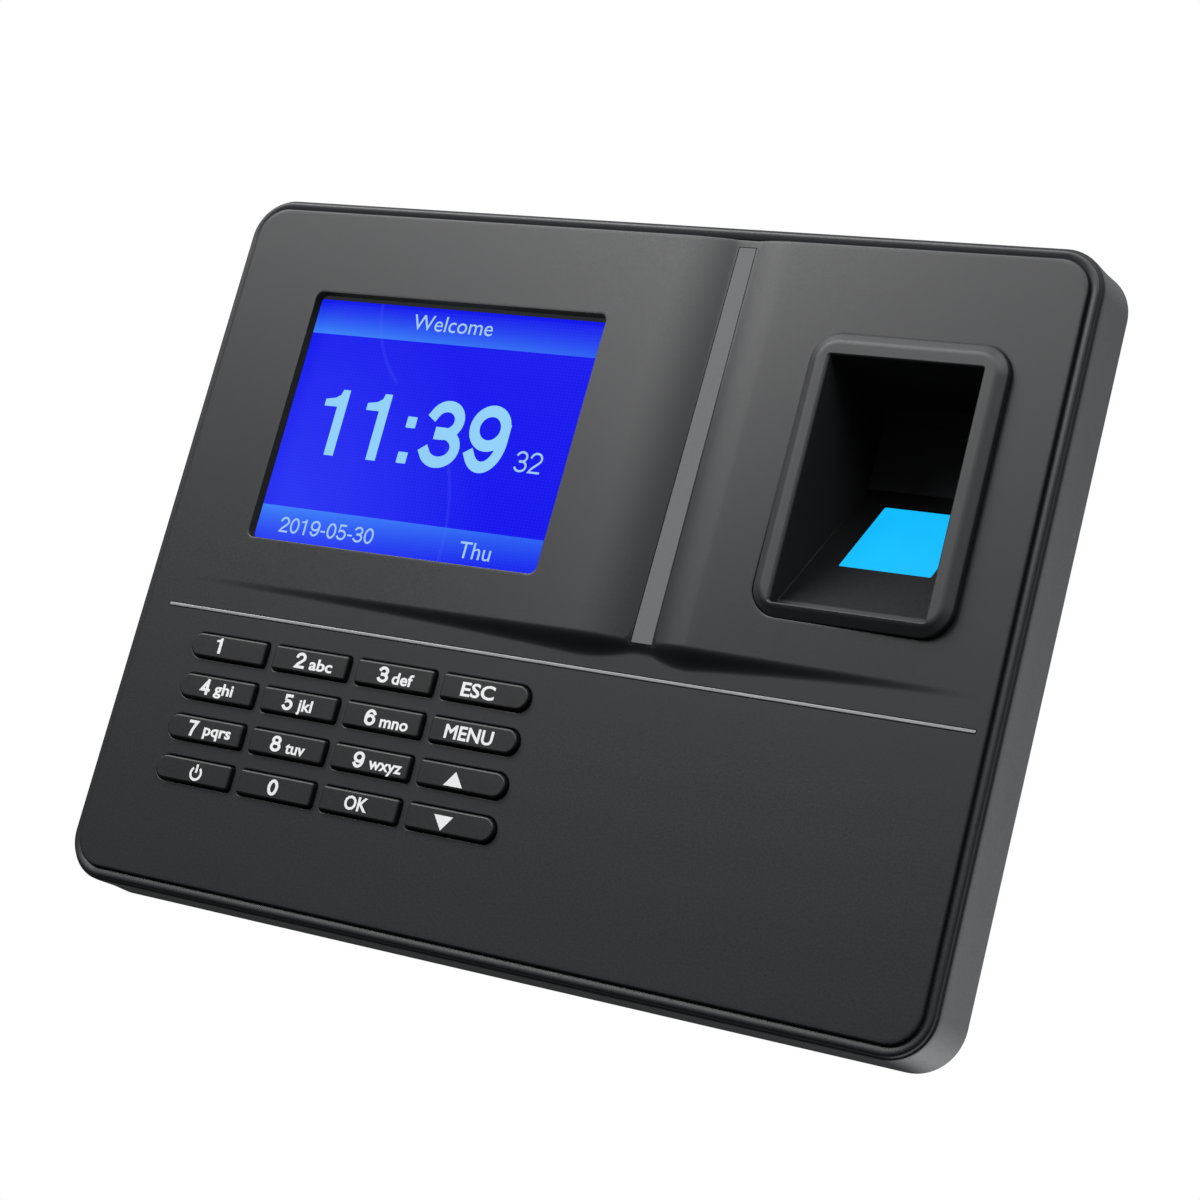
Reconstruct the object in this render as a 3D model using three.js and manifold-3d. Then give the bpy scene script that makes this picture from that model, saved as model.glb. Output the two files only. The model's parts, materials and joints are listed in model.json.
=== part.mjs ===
// Wall-mounted fingerprint terminal, in millimetres.
// +X is to the right seen from the front, -Y is the front, +Z is up.
// The origin is the centre of the wall bracket's back face, so the wall is the plane y = 0.
import * as THREE from 'three';
import { mergeVertices } from 'three/addons/utils/BufferGeometryUtils.js';
import Module from 'manifold-3d';

const wasm = await Module();
wasm.setup();

// ---------------------------------------------------------------- driving dimensions

const GAP = 0.3;                       // clearance between neighbouring pieces
const FRONT_Y = -30;                   // plane of the flat lower part of the front panel

const PANEL = { halfX: 88.75, halfZ: 67.4, radius: 6, thickness: 2 };
const PANEL_BACK_Y = FRONT_Y + PANEL.thickness;

// The upper part of the panel is two wings that rise to a crest on each side of a valley.
const WING = {
  leftTailX: -83, leftCrestX: 9, rightCrestX: 31.5, rightTailX: 87,
  stepZ: -9.3, footZ: -11.6, crestRise: 2.4, floorRise: 0.9, floorDrop: 0.9,
};
const STRIPE = { centreX: 22, bottomWidth: 4.2, topWidth: 3.4, bottomZ: -9.4, topZ: 65.8, thickness: 0.4 };
const DIVIDER = { leftX: -83.6, rightX: 86.8, z: -15.3, height: 0.6, thickness: 0.4 };

const SCREEN = { centreX: -37, centreZ: 25.05, halfX: 32.5, halfZ: 24.55, radius: 1.5 };
const LCD = { halfX: 35, halfZ: 27, glassThickness: 1.8, backlightThickness: 2.5, backlightMargin: 1 };

const KEY = {
  columnX: -73.8, pitchX: 19.3, width: 17.4, leftExtra: 0.6, rightExtra: 1.5,
  rowZ: -22.7, pitchZ: 8.03, height: 5, cornerRadius: 0.5,
  rise: 1.2, holeGap: 0.35, flangeX: 0.7, flangeZ: 0.8, flangeThickness: 1,
  plungerRadius: 2, plungerLength: 1.2,
};
const KEY_NAMES = [
  ['key_1', 'key_2', 'key_3', 'key_esc'],
  ['key_4', 'key_5', 'key_6', 'key_menu'],
  ['key_7', 'key_8', 'key_9', 'key_up'],
  ['key_power', 'key_0', 'key_ok', 'key_down'],
];
const MAT = { leftX: -76.5, rightX: 5.5, topZ: -17.6, bottomZ: -52, frontY: -23.2, domeHeight: 1, thickness: 1 };
const KEYPAD_BOARD = { leftX: -81.5, rightX: 10.5, topZ: -17.6, bottomZ: -52.4, frontY: -21.9, thickness: 1.6 };
const KEYPAD_POSTS = [[-79, -20.5], [-79, -49.5], [8, -20.5], [8, -49.5]];

const BEZEL = { centreX: 59.6, centreZ: 24, halfX: 18.6, halfZ: 25.4, radius: 5.5, rise: 2.3 };
const POCKET = { halfX: 14.8, bottomZ: 1.05, topZ: 46.95, radius: 1.2, backY: -6, wall: 1.6, rampWall: 2 };
const RAMP = { startY: -29.9, startZ: 1.3, slope: 1.2 };
const SENSOR = { width: 17.5, length: 19.1, distance: 22.9, thickness: 1.8 };

const HOUSING = {
  beadFrontY: -29.4, beadX: 90.2, stepY: -27.5, backY: -17.2, backX: 91.5, backZ: 70.15,
  wall: 2.2, webFrontY: -27.7, webBackY: -26.2, radius: 8.5,
};
const COVER = {
  frontY: -16.9, rimX: 90.2, rimZ: 68.9, shoulderY: -15.4, bodyY: -14.6,
  bodyX: 84, bodyZ: 65.6, backY: -2, wall: 2, radius: 8,
};
const CORNER_SCREWS = [[-78, 60], [78, 60], [-78, -60], [78, -60]];
const WELL = { radius: 4.5, boreRadius: 3.3, floorY: -13.5, holeRadius: 1.6 };
const BOSS = { radius: 3.5, holeRadius: 1.3, holeEndY: -25 };

const MAIN_BOARD = { leftX: -84, rightX: 36, topZ: 54, bottomZ: -52, frontY: -18.6, thickness: 1.6 };
const BOARD_BACK_Y = MAIN_BOARD.frontY + MAIN_BOARD.thickness;
const BOARD_POSTS = [[-66, 48], [32, 48], [-66, -46], [32, -46]];

const USB = { z: -8, frontX: -90.8, length: 14, width: 13.1, height: 5.7, wall: 0.5 };
const JACK = { x: -40, y: -10, bodyX: 9, bodyBackY: -5, bottomZ: 49, topZ: 62.7, barrelRadius: 4.3, boreRadius: 3.8 };
const SPEAKER = { x: 61, z: -36, radius: 14, thickness: 4.6 };

const BRACKET = { halfX: 46, topZ: 42, bottomZ: -52, thickness: 1.5, radius: 4, tabHalfX: 12, flangeFrontY: -12 };
const HOOK = { xs: [-28, 28], zs: [28, -22], slotX: 14, slotZ: 10, width: 10, lip: 6 };
const WALL_SLOT = { xs: [-39, 39], zs: [8, -38], width: 5.4, length: 12 };
const WALL_SLOTS = WALL_SLOT.xs.flatMap((x) => WALL_SLOT.zs.map((z) => [x, z]));
const HEAD_ROOM = { halfX: 5.5, halfZ: 9, depth: 3.4, wall: 1.4 };   // for the heads of the wall screws
const LOCK_SCREW = { y: -8, headRadius: 2.6 };

// ---------------------------------------------------------------- finishes

const finish = (color, roughness, metalness = 0) =>
  new THREE.MeshStandardMaterial({ color, roughness, metalness });

const FINISH = {
  casing: finish(0x3b3c3e, 0.45),
  keys: finish(0x2b2c2f, 0.5),
  stripe: finish(0x767678, 0.5),
  silver: finish(0xa0a2a4, 0.35, 0.6),
  pocket: finish(0x333436, 0.4),
  sensorGlass: finish(0x12bfff, 0.3),
  displayGlass: finish(0x2020ff, 0.25),
  whitePlastic: finish(0xe4e4e0, 0.6),
  silicone: finish(0x50545a, 0.8),
  board: finish(0x1c5a38, 0.5),
  chip: finish(0x1a1a1c, 0.5),
  steel: finish(0x9a9c9e, 0.4, 0.9),
  zinc: finish(0xb9bcc0, 0.35, 0.9),
  ribbon: finish(0xa8682a, 0.5),
  lens: finish(0xcfd6da, 0.1),
};

// ---------------------------------------------------------------- shape helpers

// A closed geometry as a solid that can be joined and cut.
function solid(geometry) {
  const bare = geometry.clone();
  bare.deleteAttribute('normal');
  bare.deleteAttribute('uv');
  const merged = mergeVertices(bare, 1e-4);
  return new wasm.Manifold(new wasm.Mesh({
    numProp: 3,
    vertProperties: new Float32Array(merged.attributes.position.array),
    triVerts: new Uint32Array(merged.index.array),
  }));
}

// The solid's faces as a geometry.
function surface(body) {
  const mesh = body.getMesh();
  const geometry = new THREE.BufferGeometry();
  geometry.setAttribute('position', new THREE.BufferAttribute(new Float32Array(mesh.vertProperties), 3));
  geometry.setIndex(new THREE.BufferAttribute(new Uint32Array(mesh.triVerts), 1));
  geometry.computeVertexNormals();
  return geometry;
}

const join = (first, ...others) => others.reduce((sum, other) => sum.add(other), first);
const cut = (first, ...others) => others.reduce((rest, other) => rest.subtract(other), first);

// A rounded rectangle in x and z. A radius may be given for the left end and the right end.
function outline(x0, x1, z0, z1, leftRadius = 0, rightRadius = leftRadius) {
  const shape = new THREE.Shape();
  const corner = (x, z, radius, from) => {
    if (radius > 0) shape.absarc(x, z, radius, from, from + Math.PI / 2);
    else shape.lineTo(x, z);
  };
  shape.moveTo(x0 + leftRadius, z0);
  corner(x1 - rightRadius, z0 + rightRadius, rightRadius, -Math.PI / 2);
  corner(x1 - rightRadius, z1 - rightRadius, rightRadius, 0);
  corner(x0 + leftRadius, z1 - leftRadius, leftRadius, Math.PI / 2);
  corner(x0 + leftRadius, z0 + leftRadius, leftRadius, Math.PI);
  return shape;
}

// An outline in x and z, made solid between two depths.
function slab(shape, y0, y1, curveSegments = 3) {
  const geometry = new THREE.ExtrudeGeometry(shape, { depth: y1 - y0, bevelEnabled: false, curveSegments });
  geometry.rotateX(Math.PI / 2);
  geometry.translate(0, y1, 0);
  return solid(geometry);
}

// A side profile of [y, z] corners, made solid between two x values.
function bar(profile, x0, x1) {
  const shape = new THREE.Shape(profile.map(([y, z]) => new THREE.Vector2(y, z)));
  const geometry = new THREE.ExtrudeGeometry(shape, { depth: x1 - x0, bevelEnabled: false });
  const turn = new THREE.Matrix4().makeBasis(
    new THREE.Vector3(0, 1, 0), new THREE.Vector3(0, 0, 1), new THREE.Vector3(1, 0, 0));
  geometry.applyMatrix4(turn);
  geometry.translate(x0, 0, 0);
  return solid(geometry);
}

// A block between two corners.
function block(x0, x1, y0, y1, z0, z1) {
  const geometry = new THREE.BoxGeometry(x1 - x0, y1 - y0, z1 - z0);
  geometry.translate((x0 + x1) / 2, (y0 + y1) / 2, (z0 + z1) / 2);
  return solid(geometry);
}

// A round rod along y at (x, z), between two depths.
function rod(x, z, radius, y0, y1, segments = 14) {
  const geometry = new THREE.CylinderGeometry(radius, radius, y1 - y0, segments);
  geometry.translate(x, (y0 + y1) / 2, z);
  return solid(geometry);
}

// A round rod along z at (x, y), between two heights.
function uprightRod(x, y, radius, z0, z1, segments = 16) {
  const geometry = new THREE.CylinderGeometry(radius, radius, z1 - z0, segments);
  geometry.rotateX(Math.PI / 2);
  geometry.translate(x, y, (z0 + z1) / 2);
  return solid(geometry);
}

// A body that runs through rounded rectangles, each with its own depth, half sizes and corner radius.
function loft(sections, cornerSteps = 5) {
  const ring = ({ y, x, z, r }) => {
    const points = [];
    [[1, 1, 0], [-1, 1, 1], [-1, -1, 2], [1, -1, 3]].forEach(([sideX, sideZ, quarter]) => {
      for (let step = 0; step <= cornerSteps; step += 1) {
        const angle = (quarter + step / cornerSteps) * Math.PI / 2;
        points.push([sideX * (x - r) + r * Math.cos(angle), y, sideZ * (z - r) + r * Math.sin(angle)]);
      }
    });
    return points;
  };
  const rings = sections.map(ring);
  const count = rings[0].length;
  const positions = [...rings.flat(), [0, sections[0].y, 0], [0, sections.at(-1).y, 0]];
  const firstCentre = count * rings.length;
  const index = [];
  for (let i = 0; i < count; i += 1) {
    const next = (i + 1) % count;
    const last = count * (rings.length - 1);
    index.push(firstCentre, i, next);
    index.push(firstCentre + 1, last + next, last + i);
    for (let k = 0; k + 1 < rings.length; k += 1) {
      const near = count * k;
      const far = near + count;
      index.push(near + i, far + i, far + next);
      index.push(near + i, far + next, near + next);
    }
  }
  const geometry = new THREE.BufferGeometry();
  geometry.setAttribute('position', new THREE.Float32BufferAttribute(positions.flat(), 3));
  geometry.setIndex(index);
  return solid(geometry);
}

// A pan-head screw whose head faces +y: the head's seat is at y = 0 and the shank runs to -y.
function screw(headRadius, headHeight, shankRadius, shankLength) {
  const profile = [
    [0, -shankLength], [shankRadius, -shankLength + shankRadius], [shankRadius, 0], [headRadius, 0],
    [headRadius, headHeight * 0.55], [headRadius * 0.7, headHeight], [0, headHeight],
  ].map(([r, y]) => new THREE.Vector2(r, y));
  const body = solid(new THREE.LatheGeometry(profile, 10));
  const arm = headRadius * 0.55;
  const slit = headRadius * 0.13;
  const depth = headHeight * 0.45;
  const recess = join(
    block(-arm, arm, depth, headHeight + 1, -slit, slit),
    block(-slit, slit, depth, headHeight + 1, -arm, arm));
  return body.subtract(recess);
}

const group = new THREE.Group();

function add(name, body, material) {
  const mesh = new THREE.Mesh(surface(body), material);
  mesh.name = name;
  group.add(mesh);
  return mesh;
}

// ---------------------------------------------------------------- front panel

const smooth = (t) => t * t * (3 - 2 * t);
const clamp = (t) => Math.min(1, Math.max(0, t));

// How far the panel's face stands in front of its flat lower part, at (x, z).
function rise(x, z) {
  const down = clamp((PANEL.halfZ - z) / (PANEL.halfZ - WING.stepZ));
  const crest = WING.crestRise * down;
  const floor = (WING.floorRise + WING.floorDrop) * down - WING.floorDrop;
  const half = STRIPE.bottomWidth / 2;
  let height = floor;
  if (x < WING.leftCrestX) {
    height = crest * clamp((x - WING.leftTailX) / (WING.leftCrestX - WING.leftTailX)) ** 2;
  } else if (x > WING.rightCrestX) {
    height = crest * clamp((WING.rightTailX - x) / (WING.rightTailX - WING.rightCrestX)) ** 2;
  } else if (x < STRIPE.centreX - half) {
    const t = (x - WING.leftCrestX) / (STRIPE.centreX - half - WING.leftCrestX);
    height = crest + (floor - crest) * smooth(t);
  } else if (x > STRIPE.centreX + half) {
    const t = (WING.rightCrestX - x) / (WING.rightCrestX - STRIPE.centreX - half);
    height = crest + (floor - crest) * smooth(t);
  }
  if (z >= WING.stepZ) return height;
  const below = clamp((z - WING.footZ) / (WING.stepZ - WING.footZ));
  return height * below * below;
}

// A block whose front face follows rise(), over a grid of x columns and z rows.
function sculptedBlock(columns, rows, backY) {
  const positions = [];
  const index = [];
  const nz = rows.length;
  const layer = columns.length * nz;
  [true, false].forEach((front) => columns.forEach((x) => rows.forEach((z) => {
    positions.push(x, front ? FRONT_Y - rise(x, z) : backY, z);
  })));
  const quad = (a, b, c, d) => index.push(a, b, c, a, c, d);
  for (let i = 0; i + 1 < columns.length; i += 1) {
    for (let k = 0; k + 1 < nz; k += 1) {
      const a = i * nz + k;
      quad(a, a + nz, a + nz + 1, a + 1);
      quad(layer + a, layer + a + 1, layer + a + nz + 1, layer + a + nz);
    }
    const low = i * nz;
    const high = low + nz - 1;
    quad(low, layer + low, layer + low + nz, low + nz);
    quad(high, high + nz, layer + high + nz, layer + high);
  }
  for (let k = 0; k + 1 < nz; k += 1) {
    const right = (columns.length - 1) * nz + k;
    quad(k, k + 1, layer + k + 1, layer + k);
    quad(right, layer + right, layer + right + 1, right + 1);
  }
  const geometry = new THREE.BufferGeometry();
  geometry.setAttribute('position', new THREE.Float32BufferAttribute(positions, 3));
  geometry.setIndex(index);
  return solid(geometry);
}

// The outline of one key, grown by a margin. The first and last keys of a row have round outer ends.
function keyOutline(column, row, growX = 0, growZ = growX) {
  const x0 = KEY.columnX + KEY.pitchX * column - (column === 0 ? KEY.leftExtra : 0);
  const x1 = KEY.columnX + KEY.pitchX * column + KEY.width + (column === 3 ? KEY.rightExtra : 0);
  const z = KEY.rowZ - KEY.pitchZ * row;
  const halfZ = KEY.height / 2 + growZ;
  const corner = KEY.cornerRadius + Math.min(growX, growZ);
  const roundEnd = halfZ - 0.01;
  return outline(x0 - growX, x1 + growX, z - halfZ, z + halfZ,
    column === 0 ? roundEnd : corner, column === 3 ? roundEnd : corner);
}

// The stripe lies along the valley floor, which leans back towards the top.
function stripeBody(grow, y0, y1) {
  const lean = Math.atan((WING.floorRise + WING.floorDrop) / (PANEL.halfZ - WING.stepZ));
  const shape = new THREE.Shape([
    [-STRIPE.bottomWidth / 2 - grow, STRIPE.bottomZ - grow], [STRIPE.bottomWidth / 2 + grow, STRIPE.bottomZ - grow],
    [STRIPE.topWidth / 2 + grow, STRIPE.topZ + grow], [-STRIPE.topWidth / 2 - grow, STRIPE.topZ + grow],
  ].map(([x, z]) => new THREE.Vector2(x, z - WING.stepZ)));
  return slab(shape, y0, y1)
    .rotate([-THREE.MathUtils.radToDeg(lean), 0, 0])
    .translate([STRIPE.centreX, FRONT_Y - WING.floorRise, WING.stepZ]);
}

function frontPanel() {
  const edge = 1;
  const seamZ = WING.footZ - 0.4;
  const columns = [
    -PANEL.halfX - edge, WING.leftTailX, -55, -32, -12, WING.leftCrestX, 12, 15, 17.5, 19.9,
    24.1, 26, 28, 30, WING.rightCrestX, 42, 56, 72, WING.rightTailX, PANEL.halfX + edge,
  ];
  const rows = [seamZ, WING.footZ, -10.9, -10.1, WING.stepZ, 29, PANEL.halfZ + edge];
  const upper = sculptedBlock(columns, rows, PANEL_BACK_Y);
  const lower = block(-PANEL.halfX - edge, PANEL.halfX + edge, FRONT_Y, PANEL_BACK_Y,
    -PANEL.halfZ - edge, seamZ);
  const sheet = outline(-PANEL.halfX, PANEL.halfX, -PANEL.halfZ, PANEL.halfZ, PANEL.radius);
  const through = (shape, curveSegments) => slab(shape, FRONT_Y - 4, PANEL_BACK_Y + 1, curveSegments);
  const holes = KEY_NAMES.flatMap((names, row) =>
    names.map((_, column) => through(keyOutline(column, row, KEY.holeGap), 2)));
  const window = through(outline(
    SCREEN.centreX - SCREEN.halfX, SCREEN.centreX + SCREEN.halfX,
    SCREEN.centreZ - SCREEN.halfZ, SCREEN.centreZ + SCREEN.halfZ, SCREEN.radius));
  const pocketHole = through(bezelOutline(GAP));
  const stripeSeat = stripeBody(GAP / 2, -1, STRIPE.thickness + GAP / 2);
  const dividerSeat = block(DIVIDER.leftX - GAP / 2, DIVIDER.rightX + GAP / 2, FRONT_Y - 1,
    FRONT_Y + DIVIDER.thickness + GAP / 2, DIVIDER.z - DIVIDER.height / 2 - GAP / 2,
    DIVIDER.z + DIVIDER.height / 2 + GAP / 2);
  return cut(join(upper, lower).intersect(through(sheet, 4)),
    window, pocketHole, stripeSeat, dividerSeat, ...holes);
}

function bezelOutline(grow) {
  return outline(BEZEL.centreX - BEZEL.halfX - grow, BEZEL.centreX + BEZEL.halfX + grow,
    BEZEL.centreZ - BEZEL.halfZ - grow, BEZEL.centreZ + BEZEL.halfZ + grow, BEZEL.radius + grow);
}

function divider() {
  return block(DIVIDER.leftX, DIVIDER.rightX, FRONT_Y, FRONT_Y + DIVIDER.thickness,
    DIVIDER.z - DIVIDER.height / 2, DIVIDER.z + DIVIDER.height / 2);
}

// ---------------------------------------------------------------- keys

function keyCap(column, row) {
  const capBackY = PANEL_BACK_Y + GAP;
  const flangeBackY = capBackY + KEY.flangeThickness;
  const middleX = KEY.columnX + KEY.pitchX * column + KEY.width / 2;
  return join(
    slab(keyOutline(column, row), FRONT_Y - KEY.rise, capBackY, 2),
    slab(keyOutline(column, row, KEY.flangeX, KEY.flangeZ), capBackY, flangeBackY, 1),
    rod(middleX, KEY.rowZ - KEY.pitchZ * row, KEY.plungerRadius, flangeBackY,
      flangeBackY + KEY.plungerLength, 8));
}

function keypadMat() {
  const sheet = block(MAT.leftX, MAT.rightX, MAT.frontY, MAT.frontY + MAT.thickness, MAT.bottomZ, MAT.topZ);
  const domes = KEY_NAMES.flatMap((names, row) => names.map((_, column) => {
    const geometry = new THREE.CylinderGeometry(2.6, 1.8, MAT.domeHeight, 8);
    geometry.translate(KEY.columnX + KEY.pitchX * column + KEY.width / 2,
      MAT.frontY - MAT.domeHeight / 2, KEY.rowZ - KEY.pitchZ * row);
    return solid(geometry);
  }));
  return join(sheet, ...domes);
}

function keypadBoard() {
  const back = KEYPAD_BOARD.frontY + KEYPAD_BOARD.thickness;
  const sheet = block(KEYPAD_BOARD.leftX, KEYPAD_BOARD.rightX, KEYPAD_BOARD.frontY, back,
    KEYPAD_BOARD.bottomZ, KEYPAD_BOARD.topZ);
  const holes = KEYPAD_POSTS.map(([x, z]) => rod(x, z, 1.3, KEYPAD_BOARD.frontY - 1, back + 1, 12));
  return cut(sheet, ...holes);
}

// ---------------------------------------------------------------- finger guide and sensor

// The ramp leans back at this angle; both unit vectors are given as [y, z].
const rampAngle = Math.atan(RAMP.slope);
const alongRamp = [Math.cos(rampAngle), Math.sin(rampAngle)];
const intoRamp = [Math.sin(rampAngle), -Math.cos(rampAngle)];

// The point at a distance up the ramp from its front edge and a depth under its surface.
function rampPoint(distance, depth) {
  return [
    RAMP.startY + alongRamp[0] * distance + intoRamp[0] * depth,
    RAMP.startZ + alongRamp[1] * distance + intoRamp[1] * depth,
  ];
}

// A block square to the ramp, centred across it.
function rampBlock(width, fromDistance, toDistance, fromDepth, toDepth) {
  const profile = [
    rampPoint(fromDistance, fromDepth), rampPoint(fromDistance, toDepth),
    rampPoint(toDistance, toDepth), rampPoint(toDistance, fromDepth),
  ];
  return bar(profile, BEZEL.centreX - width / 2, BEZEL.centreX + width / 2);
}

const rampZAt = (y) => RAMP.startZ + RAMP.slope * (y - RAMP.startY);
const sensorStart = SENSOR.distance - SENSOR.length / 2;
const sensorEnd = SENSOR.distance + SENSOR.length / 2;

function fingerGuide() {
  const bezelFrontY = FRONT_Y - BEZEL.rise;
  const collar = slab(bezelOutline(0), bezelFrontY, PANEL_BACK_Y);
  const shellX = POCKET.halfX + POCKET.wall;
  const backY = POCKET.backY + POCKET.wall;
  const underside = rampPoint(0, POCKET.rampWall);
  const undersideZAt = (y) => underside[1] + RAMP.slope * (y - underside[0]);
  const shellTopZ = POCKET.topZ + POCKET.wall;
  const shell = bar([
    [PANEL_BACK_Y - 0.5, undersideZAt(PANEL_BACK_Y - 0.5)], [backY, undersideZAt(backY)],
    [backY, shellTopZ - 3], [backY - 3, shellTopZ - 0.8], [PANEL_BACK_Y - 0.5, shellTopZ],
  ], BEZEL.centreX - shellX, BEZEL.centreX + shellX);
  const mouthY = bezelFrontY - 1;
  const hollow = bar([
    [mouthY, POCKET.bottomZ], [RAMP.startY, RAMP.startZ], [POCKET.backY, rampZAt(POCKET.backY)],
    [POCKET.backY, POCKET.topZ - 3], [POCKET.backY - 2, POCKET.topZ - 1], [mouthY, POCKET.topZ],
  ], BEZEL.centreX - POCKET.halfX, BEZEL.centreX + POCKET.halfX);
  const sensorHole = rampBlock(SENSOR.width + 2 * GAP, sensorStart - GAP, sensorEnd + GAP, -1, POCKET.rampWall + 1);
  return cut(join(collar, shell), hollow, sensorHole);
}

const sensorWindow = () => rampBlock(SENSOR.width, sensorStart, sensorEnd, 0.1, 0.1 + SENSOR.thickness);

// A wedge-shaped optical block behind the ramp, open towards the window and cut off by the rear cover.
function sensorHousing() {
  const depths = { top: POCKET.rampWall + GAP, bottom: 13, backY: -4.7 };
  const wall = 1.4;
  const wedge = (inset, topDepth) => {
    const limitY = depths.backY - inset;
    const low = sensorStart - 2 + inset;
    const bottom = depths.bottom - inset;
    const reach = (depth) => (limitY - RAMP.startY - intoRamp[0] * depth) / alongRamp[0];
    const high = Math.min(sensorEnd - 1 - inset, reach(topDepth));
    const cutDepth = (limitY - RAMP.startY - alongRamp[0] * high) / intoRamp[0];
    return [
      rampPoint(low, topDepth), rampPoint(low, bottom), rampPoint(reach(bottom), bottom),
      rampPoint(high, Math.max(cutDepth, topDepth + 0.1)), rampPoint(high, topDepth),
    ];
  };
  const half = SENSOR.width / 2 + 2;
  const outer = bar(wedge(0, depths.top), BEZEL.centreX - half, BEZEL.centreX + half);
  const inner = bar(wedge(wall, depths.top - 1), BEZEL.centreX - half + wall, BEZEL.centreX + half - wall);
  return cut(outer, inner);
}

function sensorLens() {
  const geometry = new THREE.CylinderGeometry(2.6, 3.2, 2.6, 20);
  geometry.rotateX(rampAngle - Math.PI / 2);
  const [y, z] = rampPoint(SENSOR.distance - 5, 7);
  geometry.translate(BEZEL.centreX, y, z);
  return solid(geometry);
}

const sensorBoard = () => rampBlock(15, sensorStart + 0.2, sensorStart + 9, 9.8, 10.8);
const sensorLight = () => rampBlock(12, sensorStart + 0.2, sensorStart + 2.2, 3.6, 5);

// ---------------------------------------------------------------- front housing

function frontHousing() {
  const beadZ = HOUSING.beadX - PANEL.halfX + PANEL.halfZ;
  const section = (y, grow, r) => ({ y, x: HOUSING.beadX + grow, z: beadZ + grow, r });
  const outer = loft([
    section(HOUSING.beadFrontY, -0.3, 7.2), section(HOUSING.beadFrontY + 0.4, 0, 7.5),
    section(HOUSING.stepY, 0.2, 7.7), section(HOUSING.stepY + 0.1, 0.7, 8),
    { y: HOUSING.backY, x: HOUSING.backX, z: HOUSING.backZ, r: HOUSING.radius },
  ]);
  const seat = slab(outline(-PANEL.halfX - GAP, PANEL.halfX + GAP, -PANEL.halfZ - GAP, PANEL.halfZ + GAP,
    PANEL.radius + GAP), FRONT_Y - 1, HOUSING.webFrontY);
  const innerX = HOUSING.backX - HOUSING.wall;
  const innerZ = HOUSING.backZ - HOUSING.wall;
  const inside = slab(outline(-innerX, innerX, -innerZ, innerZ, HOUSING.radius - HOUSING.wall),
    HOUSING.webBackY, HOUSING.backY + 1);
  const webCut = (x0, x1, z0, z1) => block(x0, x1, FRONT_Y, HOUSING.webBackY + 1, z0, z1);
  const displayCut = webCut(SCREEN.centreX - LCD.halfX - 0.5, SCREEN.centreX + LCD.halfX + 0.5,
    SCREEN.centreZ - LCD.halfZ - 0.5, SCREEN.centreZ + LCD.halfZ + 0.5);
  const keypadCut = webCut(MAT.leftX, MAT.rightX, MAT.bottomZ + 0.5, MAT.topZ - 0.5);
  const pocketX = POCKET.halfX + POCKET.wall + GAP;
  const pocketCut = webCut(BEZEL.centreX - pocketX, BEZEL.centreX + pocketX, -1.6,
    POCKET.topZ + POCKET.wall + GAP);
  const usbCut = block(-HOUSING.backX - 1, -HOUSING.backX + HOUSING.wall + 1,
    MAIN_BOARD.frontY - 2 * GAP - USB.height - 0.1, MAIN_BOARD.frontY + 0.1,
    USB.z - USB.width / 2 - GAP, USB.z + USB.width / 2 + GAP);
  const bosses = CORNER_SCREWS.map(([x, z]) => rod(x, z, BOSS.radius, HOUSING.webBackY - 1, HOUSING.backY));
  const bossHoles = CORNER_SCREWS.map(([x, z]) => rod(x, z, BOSS.holeRadius, BOSS.holeEndY, HOUSING.backY + 1, 12));
  const postEndY = KEYPAD_BOARD.frontY - GAP;
  const posts = KEYPAD_POSTS.map(([x, z]) => rod(x, z, 2.2, HOUSING.webFrontY, postEndY, 16));
  const postHoles = KEYPAD_POSTS.map(([x, z]) => rod(x, z, 1.1, postEndY - 3.5, postEndY + 1, 12));
  const frame = cut(outer, seat, inside, displayCut, keypadCut, pocketCut, usbCut);
  return cut(join(frame, ...bosses, ...posts), ...bossHoles, ...postHoles);
}

// ---------------------------------------------------------------- display

const lcdFrontY = PANEL_BACK_Y + GAP;
const lcdBacklightY = lcdFrontY + LCD.glassThickness + GAP;

const lcdGlass = () => block(SCREEN.centreX - LCD.halfX, SCREEN.centreX + LCD.halfX,
  lcdFrontY, lcdFrontY + LCD.glassThickness, SCREEN.centreZ - LCD.halfZ, SCREEN.centreZ + LCD.halfZ);

function lcdBacklight() {
  const x = LCD.halfX + LCD.backlightMargin;
  const z = LCD.halfZ + LCD.backlightMargin;
  return slab(outline(SCREEN.centreX - x, SCREEN.centreX + x, SCREEN.centreZ - z, SCREEN.centreZ + z, 1),
    lcdBacklightY, lcdBacklightY + LCD.backlightThickness);
}

// The flat ribbon leaves the back of the display, bends down and back, and ends on the main board.
function lcdRibbon() {
  const startY = lcdBacklightY + LCD.backlightThickness + GAP;
  const endY = MAIN_BOARD.frontY - GAP;
  const thickness = 0.4;
  const run = [[startY, 12], [startY, -4], [endY - thickness, -8], [endY - thickness, -15]];
  const back = run.map(([y, z]) => [y + thickness, z]).reverse();
  return bar([...run, ...back], SCREEN.centreX - 12, SCREEN.centreX + 12);
}

// ---------------------------------------------------------------- boards and sockets

function mainBoard() {
  const sheet = block(MAIN_BOARD.leftX, MAIN_BOARD.rightX, MAIN_BOARD.frontY, BOARD_BACK_Y,
    MAIN_BOARD.bottomZ, MAIN_BOARD.topZ);
  const holes = BOARD_POSTS.map(([x, z]) => rod(x, z, 1.6, MAIN_BOARD.frontY - 1, BOARD_BACK_Y + 1, 16));
  return cut(sheet, ...holes);
}

// A part that sits on the back of the main board.
const onBoard = (x, z, width, height, thickness) => block(x - width / 2, x + width / 2,
  BOARD_BACK_Y + GAP, BOARD_BACK_Y + GAP + thickness, z - height / 2, z + height / 2);

const COIN = { x: -15, z: -18, radius: 10, thickness: 3.2 };

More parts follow.
